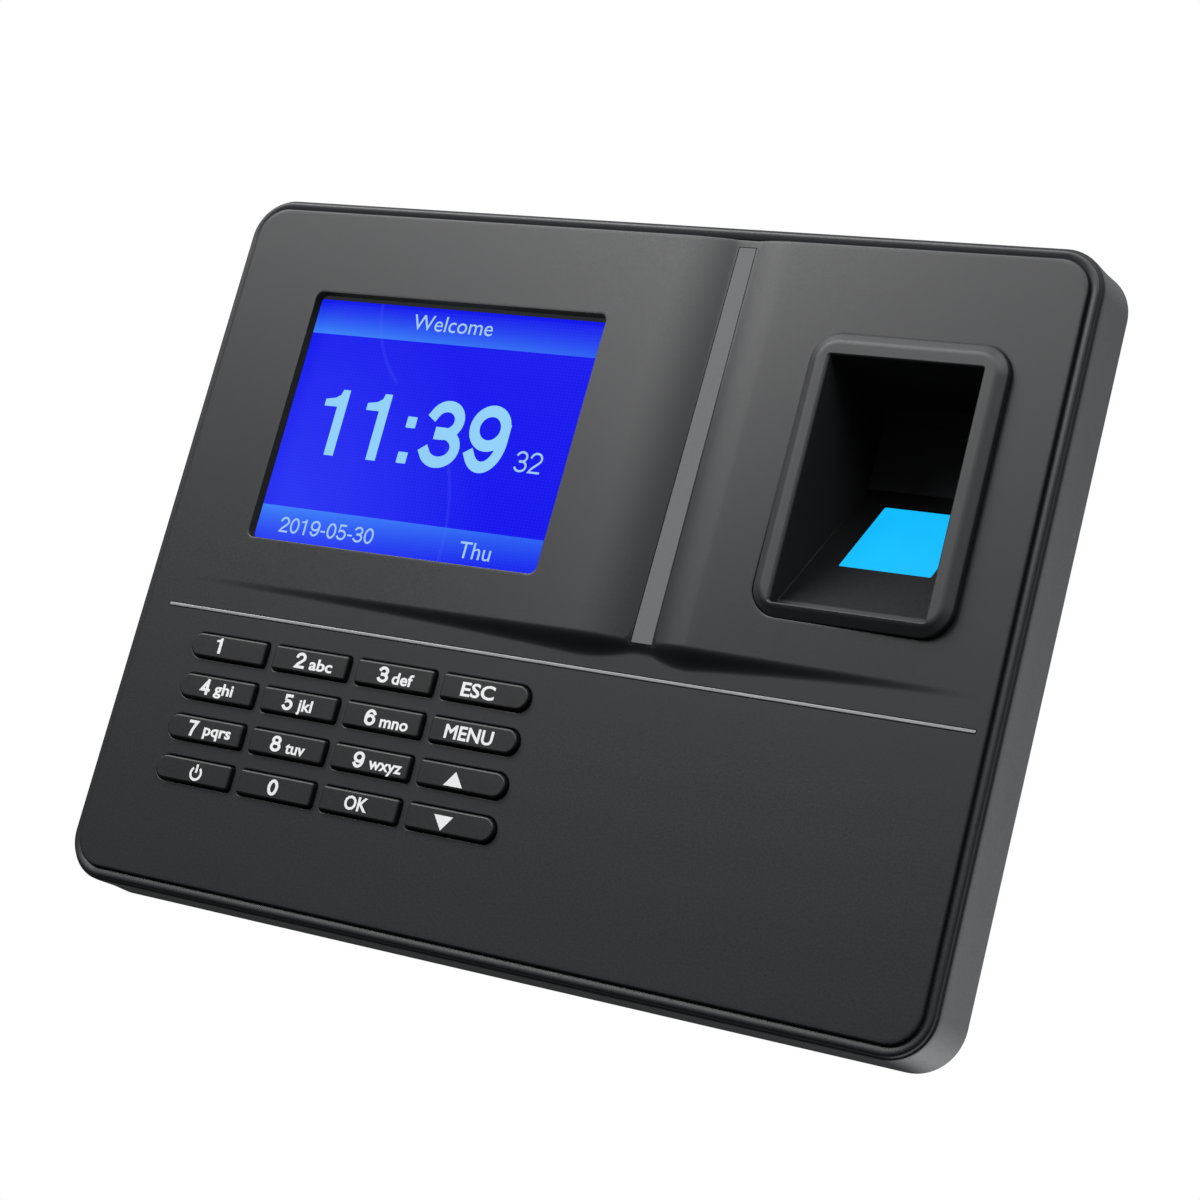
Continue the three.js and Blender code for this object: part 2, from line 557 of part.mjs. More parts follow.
function coinCellHolder() {
  const front = BOARD_BACK_Y + GAP;
  const cup = rod(COIN.x, COIN.z, COIN.radius + 1.5, front, front + 4.4, 20);
  return cut(cup, rod(COIN.x, COIN.z, COIN.radius + GAP, front + 1, front + 6, 20));
}

const coinCell = () => rod(COIN.x, COIN.z, COIN.radius, BOARD_BACK_Y + 2 * GAP + 1,
  BOARD_BACK_Y + 2 * GAP + 1 + COIN.thickness, 20);

// A pressed steel socket shell, open at the side of the terminal.
function usbPort() {
  const backY = MAIN_BOARD.frontY - GAP;
  const frontY = backY - USB.height;
  const z0 = USB.z - USB.width / 2;
  const z1 = USB.z + USB.width / 2;
  const shell = block(USB.frontX, USB.frontX + USB.length, frontY, backY, z0, z1);
  const mouth = block(USB.frontX - 1, USB.frontX + USB.length - 2, frontY + USB.wall, backY - USB.wall,
    z0 + USB.wall, z1 - USB.wall);
  return cut(shell, mouth);
}

function powerJack() {
  const body = block(JACK.x - JACK.bodyX / 2, JACK.x + JACK.bodyX / 2, BOARD_BACK_Y + GAP, JACK.bodyBackY,
    JACK.bottomZ, JACK.topZ);
  const barrel = uprightRod(JACK.x, JACK.y, JACK.barrelRadius, JACK.topZ - 1, COVER.bodyZ - 0.6);
  const bore = uprightRod(JACK.x, JACK.y, JACK.boreRadius, JACK.bottomZ + 3, COVER.bodyZ + 1);
  return cut(join(body, barrel), bore);
}

const speaker = () => join(
  rod(SPEAKER.x, SPEAKER.z, SPEAKER.radius, COVER.backY - COVER.wall - GAP - 2, COVER.backY - COVER.wall - GAP, 20),
  rod(SPEAKER.x, SPEAKER.z, SPEAKER.radius * 0.6, COVER.backY - COVER.wall - GAP - SPEAKER.thickness,
    COVER.backY - COVER.wall - GAP - 1.5, 16));

// ---------------------------------------------------------------- rear cover

function rearCover() {
  const section = (y, x, z, r) => ({ y, x, z, r });
  const t = COVER.wall;
  const backFaceY = COVER.backY - t;
  const outer = loft([
    section(COVER.frontY, COVER.rimX, COVER.rimZ, COVER.radius),
    section(COVER.shoulderY, COVER.rimX - 0.4, COVER.rimZ - 0.4, COVER.radius),
    section(COVER.bodyY, COVER.bodyX, COVER.bodyZ, 6),
    section(COVER.backY - 0.8, COVER.bodyX - 0.6, COVER.bodyZ - 0.5, 6),
    section(COVER.backY, COVER.bodyX - 1.4, COVER.bodyZ - 1.3, 5.2),
  ]);
  const inner = loft([
    section(COVER.frontY - 1, COVER.rimX - t, COVER.rimZ - t, COVER.radius - t),
    section(COVER.shoulderY - 1, COVER.rimX - t, COVER.rimZ - t, COVER.radius - t),
    section(COVER.bodyY - 1, COVER.bodyX - t, COVER.bodyZ - t, 4),
    section(backFaceY, COVER.bodyX - t - 0.6, COVER.bodyZ - t - 0.5, 4),
  ]);
  const wells = CORNER_SCREWS.map(([x, z]) => rod(x, z, WELL.radius, COVER.frontY, backFaceY + 1));
  const bores = CORNER_SCREWS.map(([x, z]) => rod(x, z, WELL.boreRadius, WELL.floorY, COVER.backY + 1));
  const holes = CORNER_SCREWS.map(([x, z]) => rod(x, z, WELL.holeRadius, COVER.frontY - 1, WELL.floorY + 1, 12));
  const postFrontY = BOARD_BACK_Y + GAP;
  const posts = BOARD_POSTS.map(([x, z]) => rod(x, z, 3, postFrontY, backFaceY + 1, 16));
  const postHoles = BOARD_POSTS.map(([x, z]) => rod(x, z, 1.3, postFrontY - 1, postFrontY + 7, 12));
  const lockBoss = uprightRod(0, LOCK_SCREW.y, 3.2, -COVER.bodyZ + 1, -COVER.bodyZ + 8);
  const lockHole = uprightRod(0, LOCK_SCREW.y, 1.3, -COVER.bodyZ - 1, -COVER.bodyZ + 6.5, 12);
  const jackHole = uprightRod(JACK.x, JACK.y, JACK.barrelRadius + GAP, COVER.bodyZ - 4, COVER.bodyZ + 1);
  const hookSlots = HOOK.xs.flatMap((x) => HOOK.zs.map((z) => block(x - HOOK.slotX / 2, x + HOOK.slotX / 2,
    backFaceY - 0.5, COVER.backY + 1, z - HOOK.slotZ / 2, z + HOOK.slotZ / 2)));
  const grille = [-8, -4, 0, 4, 8].map((dz) => slab(
    outline(SPEAKER.x - 9, SPEAKER.x + 9, SPEAKER.z + dz - 0.8, SPEAKER.z + dz + 0.8, 0.79),
    backFaceY - 0.5, COVER.backY + 1, 1));
  const headRoom = (grow, y1) => WALL_SLOTS.map(([x, z]) => block(
    x - HEAD_ROOM.halfX - grow, x + HEAD_ROOM.halfX + grow, COVER.backY - HEAD_ROOM.depth - grow, y1,
    z - HEAD_ROOM.halfZ - grow, z + HEAD_ROOM.halfZ + grow));
  const headWalls = headRoom(HEAD_ROOM.wall, backFaceY + 1);
  const headRooms = headRoom(0, COVER.backY + 1);
  const shell = join(cut(outer, inner), ...wells, ...posts, ...headWalls, lockBoss);
  return cut(shell, ...bores, ...holes, ...postHoles, ...headRooms, lockHole, jackHole, ...hookSlots, ...grille);
}

// ---------------------------------------------------------------- wall bracket

function wallBracket() {
  const t = BRACKET.thickness;
  const plate = slab(outline(-BRACKET.halfX, BRACKET.halfX, BRACKET.bottomZ, BRACKET.topZ, BRACKET.radius), -t, 0);
  const flangeTopZ = -COVER.bodyZ - GAP;
  const tab = block(-BRACKET.tabHalfX, BRACKET.tabHalfX, -t, 0, flangeTopZ - t, BRACKET.bottomZ + 1);
  const flange = block(-BRACKET.tabHalfX, BRACKET.tabHalfX, BRACKET.flangeFrontY, 0, flangeTopZ - t, flangeTopZ);
  const lockHole = uprightRod(0, LOCK_SCREW.y, 1.7, flangeTopZ - t - 1, flangeTopZ + 1, 16);
  const lipBackY = COVER.backY - COVER.wall - GAP;
  const hooks = HOOK.xs.flatMap((x) => HOOK.zs.map((z) => {
    const neckTopZ = z + HOOK.slotZ / 2 - GAP;
    return bar([
      [0, neckTopZ - t], [0, neckTopZ], [lipBackY, neckTopZ], [lipBackY, neckTopZ + HOOK.lip],
      [lipBackY - t, neckTopZ + HOOK.lip], [lipBackY - t, neckTopZ - t],
    ].reverse(), x - HOOK.width / 2, x + HOOK.width / 2);
  }));
  const slots = WALL_SLOTS.map(([x, z]) => slab(
    outline(x - WALL_SLOT.width / 2, x + WALL_SLOT.width / 2, z - WALL_SLOT.length / 2, z + WALL_SLOT.length / 2,
      WALL_SLOT.width / 2 - 0.01), -t - 1, 1));
  return cut(join(plate, tab, flange, ...hooks), lockHole, ...slots);
}

// ---------------------------------------------------------------- assembly

add('front_housing', frontHousing(), FINISH.casing);
add('front_panel', frontPanel(), FINISH.casing);
add('stripe_inlay', stripeBody(0, 0, STRIPE.thickness), FINISH.stripe);
add('divider_trim', divider(), FINISH.silver);
add('finger_guide', fingerGuide(), FINISH.pocket);
add('sensor_window', sensorWindow(), FINISH.sensorGlass);
add('sensor_housing', sensorHousing(), FINISH.chip);
add('sensor_lens', sensorLens(), FINISH.lens);
add('sensor_board', sensorBoard(), FINISH.board);
add('sensor_light', sensorLight(), FINISH.whitePlastic);
add('lcd_glass', lcdGlass(), FINISH.displayGlass);
add('lcd_backlight', lcdBacklight(), FINISH.whitePlastic);
add('lcd_ribbon', lcdRibbon(), FINISH.ribbon);

KEY_NAMES.forEach((names, row) => names.forEach((name, column) => {
  add(name, keyCap(column, row), FINISH.keys);
}));
add('keypad_mat', keypadMat(), FINISH.silicone);
add('keypad_board', keypadBoard(), FINISH.board);
add('keypad_connector', block(-46, -26, KEYPAD_BOARD.frontY + KEYPAD_BOARD.thickness + GAP,
  MAIN_BOARD.frontY - GAP, -50, -46), FINISH.chip);

add('main_board', mainBoard(), FINISH.board);
add('processor_chip', onBoard(-20, 20, 14, 14, 1.4), FINISH.chip);
add('memory_chip', onBoard(2, 22, 8, 12, 1.2), FINISH.chip);
add('coin_cell_holder', coinCellHolder(), FINISH.chip);
add('coin_cell', coinCell(), FINISH.zinc);
add('usb_port', usbPort(), FINISH.zinc);
add('power_jack', powerJack(), FINISH.chip);
add('speaker', speaker(), FINISH.chip);

add('rear_cover', rearCover(), FINISH.casing);
add('wall_bracket', wallBracket(), FINISH.steel);

CORNER_SCREWS.forEach(([x, z], i) => {
  add(`rear_screw_${i + 1}`, screw(2.8, 2, 1, 10.5), FINISH.zinc).position.set(x, WELL.floorY + GAP, z);
});
BOARD_POSTS.forEach(([x, z], i) => {
  const fastener = add(`board_screw_${i + 1}`, screw(2.4, 1.1, 1, 7), FINISH.zinc);
  fastener.rotation.z = Math.PI;
  fastener.position.set(x, MAIN_BOARD.frontY - GAP, z);
});
KEYPAD_POSTS.forEach(([x, z], i) => {
  const backY = KEYPAD_BOARD.frontY + KEYPAD_BOARD.thickness;
  add(`keypad_screw_${i + 1}`, screw(2, 1, 0.8, 4.6), FINISH.zinc).position.set(x, backY + GAP / 2, z);
});
const lockScrew = add('bracket_screw', screw(LOCK_SCREW.headRadius, 1.6, 1, 6), FINISH.zinc);
lockScrew.rotation.x = -Math.PI / 2;
lockScrew.position.set(0, LOCK_SCREW.y, -COVER.bodyZ - GAP - BRACKET.thickness - GAP);

export default group;
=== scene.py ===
"""Looks of a wall-mounted fingerprint terminal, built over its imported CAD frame.

x is to the right seen from the front, y goes into the wall, z is up. Shapes are worked out in
millimetres and turned to metres when a piece is made.
"""

import json
import math

import bmesh
import bpy
import numpy as np
from mathutils import Matrix, Vector
from mathutils.geometry import delaunay_2d_cdt


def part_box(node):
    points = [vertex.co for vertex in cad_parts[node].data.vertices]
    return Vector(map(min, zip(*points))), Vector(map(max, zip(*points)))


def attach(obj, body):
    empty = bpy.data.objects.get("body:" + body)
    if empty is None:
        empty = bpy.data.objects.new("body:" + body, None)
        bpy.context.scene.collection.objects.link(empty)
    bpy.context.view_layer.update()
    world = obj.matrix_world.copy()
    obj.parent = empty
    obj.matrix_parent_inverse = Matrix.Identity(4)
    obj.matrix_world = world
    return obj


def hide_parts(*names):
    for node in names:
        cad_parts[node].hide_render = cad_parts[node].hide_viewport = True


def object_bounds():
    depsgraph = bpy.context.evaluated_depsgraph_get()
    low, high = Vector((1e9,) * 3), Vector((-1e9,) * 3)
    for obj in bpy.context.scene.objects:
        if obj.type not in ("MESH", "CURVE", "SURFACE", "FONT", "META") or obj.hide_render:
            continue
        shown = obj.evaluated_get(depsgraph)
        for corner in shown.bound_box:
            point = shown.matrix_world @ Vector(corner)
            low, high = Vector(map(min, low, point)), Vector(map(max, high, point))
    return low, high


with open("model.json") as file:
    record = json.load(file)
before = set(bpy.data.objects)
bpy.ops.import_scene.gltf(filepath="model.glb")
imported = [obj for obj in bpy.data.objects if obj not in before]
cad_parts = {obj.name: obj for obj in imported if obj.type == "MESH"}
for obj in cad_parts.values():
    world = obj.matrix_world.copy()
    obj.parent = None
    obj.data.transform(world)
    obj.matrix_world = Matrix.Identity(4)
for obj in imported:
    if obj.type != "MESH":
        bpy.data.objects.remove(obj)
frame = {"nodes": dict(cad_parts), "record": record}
cad_low, cad_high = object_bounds()

MM = 0.001

# ---------------------------------------------------------------- sizes taken from the frame


def span(node):
    """Lowest and highest x, y and z of a CAD piece, in millimetres: x0, x1, y0, y1, z0, z1."""
    low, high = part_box(node)
    return [value / MM for pair in zip(low, high) for value in pair]


PANEL_X0, PANEL_X1, _, PANEL_BACK_Y, PANEL_Z0, PANEL_Z1 = span("front_panel")
FRONT_Y = PANEL_BACK_Y - 2.0            # plane of the flat lower part of the panel
PANEL_RADIUS = 6.0
GAP = 0.3                               # clearance between neighbouring pieces
_, HOUSING_X, _, HOUSING_BACK_Y, _, HOUSING_Z = span("front_housing")

# The panel's upper part is two wings that rise to a crest on each side of a valley.
WING_LEFT_TAIL, WING_LEFT_CREST, WING_RIGHT_CREST, WING_RIGHT_TAIL = -83.0, 9.0, 31.5, 87.0
WING_STEP_Z = -8.9
CREST_RISE, FLOOR_RISE, FLOOR_DROP = 2.4, 0.9, 0.9
STRIPE_X, STRIPE_HALF_LOW, STRIPE_HALF_HIGH = 22.0, 2.1, 1.7
STRIPE_Z0, STRIPE_Z1, STRIPE_DEPTH = -9.4, 65.8, 0.4
KEY_RISE = 1.2
KEY_TOP_Y = FRONT_Y - KEY_RISE + 0.25   # the caps stand a little lower than the frame's keys

KEY_ROWS = [
    ["key_1", "key_2", "key_3", "key_esc"],
    ["key_4", "key_5", "key_6", "key_menu"],
    ["key_7", "key_8", "key_9", "key_up"],
    ["key_power", "key_0", "key_ok", "key_down"],
]

# ---------------------------------------------------------------- outlines and rings


def arc(cx, cz, rx, rz, start, end, count=18):
    """Points along an arc of an ellipse, from one angle to another in degrees."""
    angles = [math.radians(start + (end - start) * i / count) for i in range(count + 1)]
    return [(cx + rx * math.cos(a), cz + rz * math.sin(a)) for a in angles]


def oval(cx, cz, rx, rz, sides):
    """Points once round an ellipse."""
    return arc(cx, cz, rx, rz, 0, 360, sides)[:-1]


def rounded(x0, x1, z0, z1, left, right=None, steps=8):
    """A rounded rectangle in x and z, anticlockwise seen from the front, with its own end radii."""
    right = left if right is None else right
    corners = [
        (x1 - right, z0 + right, right, 270), (x1 - right, z1 - right, right, 0),
        (x0 + left, z1 - left, left, 90), (x0 + left, z0 + left, left, 180),
    ]
    return [p for cx, cz, r, start in corners for p in arc(cx, cz, r, r, start, start + 90, steps)]


def box_outline(half_x, half_z, radius, centre=(0.0, 0.0), steps=8):
    """A rounded rectangle about a centre."""
    cx, cz = centre
    return rounded(cx - half_x, cx + half_x, cz - half_z, cz + half_z, radius, steps=steps)


def divided(loop, longest):
    """The same loop with its long edges split."""
    points = []
    for (x0, z0), (x1, z1) in zip(loop, loop[1:] + loop[:1]):
        count = max(1, math.ceil(math.hypot(x1 - x0, z1 - z0) / longest))
        points += [(x0 + (x1 - x0) * i / count, z0 + (z1 - z0) * i / count) for i in range(count)]
    return points


def grown(loop, amount):
    """The loop moved outwards by an amount, or inwards where it is negative."""
    points = []
    count = len(loop)
    for i in range(count):
        before = np.subtract(loop[i], loop[i - 1])
        after = np.subtract(loop[(i + 1) % count], loop[i])
        first = np.array([before[1], -before[0]]) / (np.linalg.norm(before) or 1)
        second = np.array([after[1], -after[0]]) / (np.linalg.norm(after) or 1)
        normal = first + second
        normal = normal / max(np.dot(normal, first), 0.3)
        points.append((loop[i][0] + normal[0] * amount, loop[i][1] + normal[1] * amount))
    return points


def tidy_loop(loop):
    """The loop without points that repeat."""
    return [p for p, q in zip(loop, loop[1:] + loop[:1]) if math.hypot(p[0] - q[0], p[1] - q[1]) > 1e-4]


def ring(loop, y):
    """The loop at depth y, or at a depth worked out for each point."""
    return [(x, y(x, z) if callable(y) else y, z) for x, z in loop]


class Shape:
    """Points in millimetres and the faces between them."""

    def __init__(self):
        self.points = []
        self.faces = []

    def add(self, points, faces):
        """More points, and the faces between them."""
        first = len(self.points)
        self.points += [tuple(p) for p in points]
        self.faces += [tuple(first + i for i in face) for face in faces]
        return self

    def bands(self, rings):
        """Walls between rings that follow each other."""
        count = len(rings[0])
        for near, far in zip(rings, rings[1:]):
            faces = [(i, (i + 1) % count, count + (i + 1) % count, count + i) for i in range(count)]
            self.add(list(near) + list(far), faces)
        return self

    def lid(self, loop):
        """One flat face on a ring."""
        return self.add(loop, [tuple(range(len(loop)))])

    def solid(self, rings):
        """A closed body through rings, with flat ends."""
        return self.bands(rings).lid(rings[0]).lid(rings[-1])

    def mesh(self, name="scratch"):
        """The shape as a mesh, in metres."""
        mesh = bpy.data.meshes.new(name)
        mesh.from_pydata([(x * MM, y * MM, z * MM) for x, y, z in self.points], [], self.faces)
        return mesh


def inside(loop, points):
    """Which points lie in the loop."""
    x, z = points[:, 0], points[:, 1]
    found = np.zeros(len(points), bool)
    for (x0, z0), (x1, z1) in zip(loop, loop[1:] + loop[:1]):
        crosses = (z0 > z) != (z1 > z)
        if abs(z1 - z0) > 1e-12:
            found ^= crosses & (x < (x1 - x0) * (z - z0) / (z1 - z0) + x0)
    return found


def filled(outer, holes, y, columns=(), rows=()):
    """A skin over an outline with holes at depth y, with extra points where columns cross rows."""
    points = []
    edges = []
    for loop in [outer] + holes:
        first = len(points)
        points += loop
        edges += [(first + i, first + (i + 1) % len(loop)) for i in range(len(loop))]
    if len(columns):
        grid = np.array([(x, z) for x in columns for z in rows])
        keep = inside(grown(outer, -0.2), grid)
        for hole in holes:
            keep &= ~inside(grown(hole, 0.2), grid)
        points += [tuple(p) for p in grid[keep]]
    spots, _, triangles = delaunay_2d_cdt([Vector(p) for p in points], edges, [], 0, 1e-5)[:3]
    spots = np.array([tuple(p) for p in spots])
    triangles = np.array([list(t) for t in triangles])
    middles = spots[triangles].mean(axis=1)
    keep = inside(outer, middles)
    for hole in holes:
        keep &= ~inside(hole, middles)
    return ring([tuple(p) for p in spots], y), [tuple(t) for t in triangles[keep]]


# ---------------------------------------------------------------- pieces


def linked(name, data):
    """A new object in the scene."""
    thing = bpy.data.objects.new(name, data)
    bpy.context.scene.collection.objects.link(thing)
    return thing


def mended(mesh, apart=2e-6, slivers=False):
    """Joins points that lie together, can take away slivers, and turns the faces out."""
    work = bmesh.new()
    work.from_mesh(mesh)
    bmesh.ops.remove_doubles(work, verts=work.verts, dist=apart)
    if slivers:
        bmesh.ops.dissolve_degenerate(work, edges=work.edges, dist=1e-7)
    bmesh.ops.recalc_face_normals(work, faces=work.faces)
    work.to_mesh(mesh)
    work.free()
    return mesh


def piece(name, shape, finish, body="casing", replaces=(), crease=32.0):
    """A smooth-shaded piece from a shape, riding on a body, in place of the CAD pieces it replaces."""
    return placed(name, shape.mesh(name), finish, body, replaces, crease)


def placed(name, mesh, finish, body="casing", replaces=(), crease=32.0):
    """A mesh mended, shaded smooth up to its creases, and made a piece."""
    mended(mesh, slivers=True)
    mesh.shade_smooth()
    mesh.set_sharp_from_angle(angle=math.radians(crease))
    mesh.materials.clear()
    mesh.materials.append(finish)
    thing = linked(name, mesh)
    flats = thing.modifiers.new("flats_stay_flat", "WEIGHTED_NORMAL")
    flats.keep_sharp = True
    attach(thing, body)
    if replaces:
        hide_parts(*replaces)
    return thing


def scratch(start):
    """A passing object from a shape or a mesh, used to cut or join, and removed afterwards."""
    return linked("scratch", mended(start.mesh() if isinstance(start, Shape) else start))


def settled(thing):
    """The object's mesh with its modifiers made real; the object itself is removed."""
    bpy.context.view_layer.update()
    graph = bpy.context.evaluated_depsgraph_get()
    mesh = bpy.data.meshes.new_from_object(thing.evaluated_get(graph), depsgraph=graph)
    bpy.data.objects.remove(thing)
    return mesh


def carved(start, joins=(), cuts=()):
    """The mesh left when shapes are joined to a start and others are cut from it."""
    current = scratch(start)
    for others, operation in ((joins, "UNION"), (cuts, "DIFFERENCE")):
        for other in others:
            tool = scratch(other)
            change = current.modifiers.new("carve", "BOOLEAN")
            change.operation = operation
            change.solver = "EXACT"
            change.object = tool
            current = scratch(settled(current))
            bpy.data.objects.remove(tool)
    return settled(current)


def eased(mesh, width):
    """The mesh with its sharp edges rounded over a width in millimetres."""
    thing = scratch(mesh)
    work = bmesh.new()
    work.from_mesh(thing.data)
    flat = math.radians(0.5)
    bmesh.ops.dissolve_limit(work, angle_limit=flat, verts=work.verts, edges=work.edges)
    work.to_mesh(thing.data)
    work.free()
    bevel = thing.modifiers.new("ease", "BEVEL")
    bevel.width = width * MM
    bevel.segments = 2
    bevel.limit_method = "ANGLE"
    bevel.angle_limit = math.radians(35)
    bevel.use_clamp_overlap = True
    return settled(thing)


def rod(centre, radius, y0, y1, sides=32):
    """A round rod along y."""
    loop = oval(*centre, radius, radius, sides)
    return Shape().solid([ring(loop, y0), ring(loop, y1)])


def block(x0, x1, y0, y1, z0, z1):
    """A block used to cut."""
    loop = [(x0, z0), (x1, z0), (x1, z1), (x0, z1)]
    return Shape().solid([ring(loop, y0), ring(loop, y1)])


# ---------------------------------------------------------------- finishes


def linear(hex_colour):
    """An sRGB hex colour as the linear colour that the shaders work in."""
    channels = [int(hex_colour[i:i + 2], 16) / 255 for i in (1, 3, 5)]
    return tuple(c / 12.92 if c <= 0.04045 else ((c + 0.055) / 1.055) ** 2.4 for c in channels) + (1.0,)


def add_node(tree, kind, settings=None, links=None):
    """Adds a node, sets its values by property or input name, and links its inputs to outputs.
    A link from a whole node comes from its first live output."""
    node = tree.nodes.new("ShaderNode" + kind)
    for key, value in (settings or {}).items():
        if isinstance(key, str) and hasattr(node, key):
            setattr(node, key, value)
        else:
            node.inputs[key].default_value = value
    for key, source in (links or {}).items():
        if isinstance(source, bpy.types.Node):
            source = next(output for output in source.outputs if output.enabled)
        tree.links.new(source, node.inputs[key])
    return node


def new_finish(name):
    """An empty node material, its tree, and the place on the piece that its patterns follow."""
    material = bpy.data.materials.new(name)
    material.use_nodes = True
    tree = material.node_tree
    tree.nodes.clear()
    return material, tree, add_node(tree, "TexCoord").outputs["Object"]


def moulded(name, dark, light, roughness, grit_mm, grit_depth, level=0.5):
    """A moulded plastic: the mould's fine texture spreads every highlight into a soft satin bloom."""
    material, tree, place = new_finish(name)
    cloud = add_node(
        tree, "TexNoise", {"Scale": 1 / (22 * MM), "Detail": 3.0, "Roughness": 0.5},
        {"Vector": place},
    )
    grit = add_node(
        tree, "TexNoise", {"Scale": 1 / (grit_mm * MM), "Detail": 2.0, "Roughness": 0.6},
        {"Vector": place},
    )
    colour = add_node(tree, "Mix", {"data_type": "RGBA", 6: linear(dark), 7: linear(light)}, {0: cloud})
    satin = add_node(
        tree, "MapRange",
        {"From Min": 0.3, "From Max": 0.7, "To Min": roughness - 0.035, "To Max": roughness + 0.035},
        {"Value": grit},
    )
    bump = add_node(tree, "Bump", {"Strength": 0.35, "Distance": grit_depth * MM}, {"Height": grit})
    shader = add_node(
        tree, "BsdfPrincipled", {"IOR": 1.52, "Specular IOR Level": level},
        {"Base Color": colour, "Roughness": satin, "Normal": bump},
    )
    add_node(tree, "OutputMaterial", None, {"Surface": shader})
    return material


def thin_film(name, dark, light, roughness, glow=0.0):
    """Ink, lacquer or paper: a thin matt film, slightly uneven in tone."""
    material, tree, place = new_finish(name)
    film = add_node(tree, "TexNoise", {"Scale": 1 / (0.6 * MM), "Detail": 2.0}, {"Vector": place})
    colour = add_node(tree, "Mix", {"data_type": "RGBA", 6: linear(dark), 7: linear(light)}, {0: film})
    shader = add_node(
        tree, "BsdfPrincipled", {"Roughness": roughness, "IOR": 1.48, "Emission Strength": glow},
        {"Base Color": colour},
    )
    add_node(tree, "OutputMaterial", None, {"Surface": shader})
    return material


def metal(name, dark, light, roughness, grain, metallic=1.0):
    """Plated or rolled metal: fine streaks draw out its highlights. Grain is their size in x, y and z."""
    material, tree, place = new_finish(name)
    stretch = add_node(tree, "Mapping", {"Scale": tuple(1 / (g * MM) for g in grain)}, {"Vector": place})
    streak = add_node(tree, "TexNoise", {"Scale": 1.0, "Detail": 3.0}, {"Vector": stretch})
    colour = add_node(tree, "Mix", {"data_type": "RGBA", 6: linear(dark), 7: linear(light)}, {0: streak})
    polish = add_node(
        tree, "MapRange", {"To Min": roughness - 0.08, "To Max": roughness + 0.08},
        {"Value": streak},
    )
    bump = add_node(tree, "Bump", {"Strength": 0.2, "Distance": 0.01 * MM}, {"Height": streak})
    shader = add_node(
        tree, "BsdfPrincipled", {"Metallic": metallic},
        {"Base Color": colour, "Roughness": polish, "Normal": bump},
    )
    add_node(tree, "OutputMaterial", None, {"Surface": shader})
    return material


def lit_glass(name, deep, bright, glow, strength):
    """Glass lit from behind: a clean even glow with a faint fall-off that keeps it from looking painted."""
    material, tree, place = new_finish(name)
    haze = add_node(tree, "TexNoise", {"Scale": 1 / (9 * MM), "Detail": 1.0}, {"Vector": place})
    colour = add_node(tree, "Mix", {"data_type": "RGBA", 6: linear(deep), 7: linear(bright)}, {0: haze})
    shader = add_node(
        tree, "BsdfPrincipled",
        {
            "Base Color": linear(glow), "Roughness": 0.35, "Specular IOR Level": 0.2,
            "Emission Strength": strength,
        },
        {"Emission Color": colour},
    )
    add_node(tree, "OutputMaterial", None, {"Surface": shader})
    return material


HEADER_HEIGHT, FOOTER_HEIGHT = 7.0, 7.3     # the bars at the top and foot of what the display shows


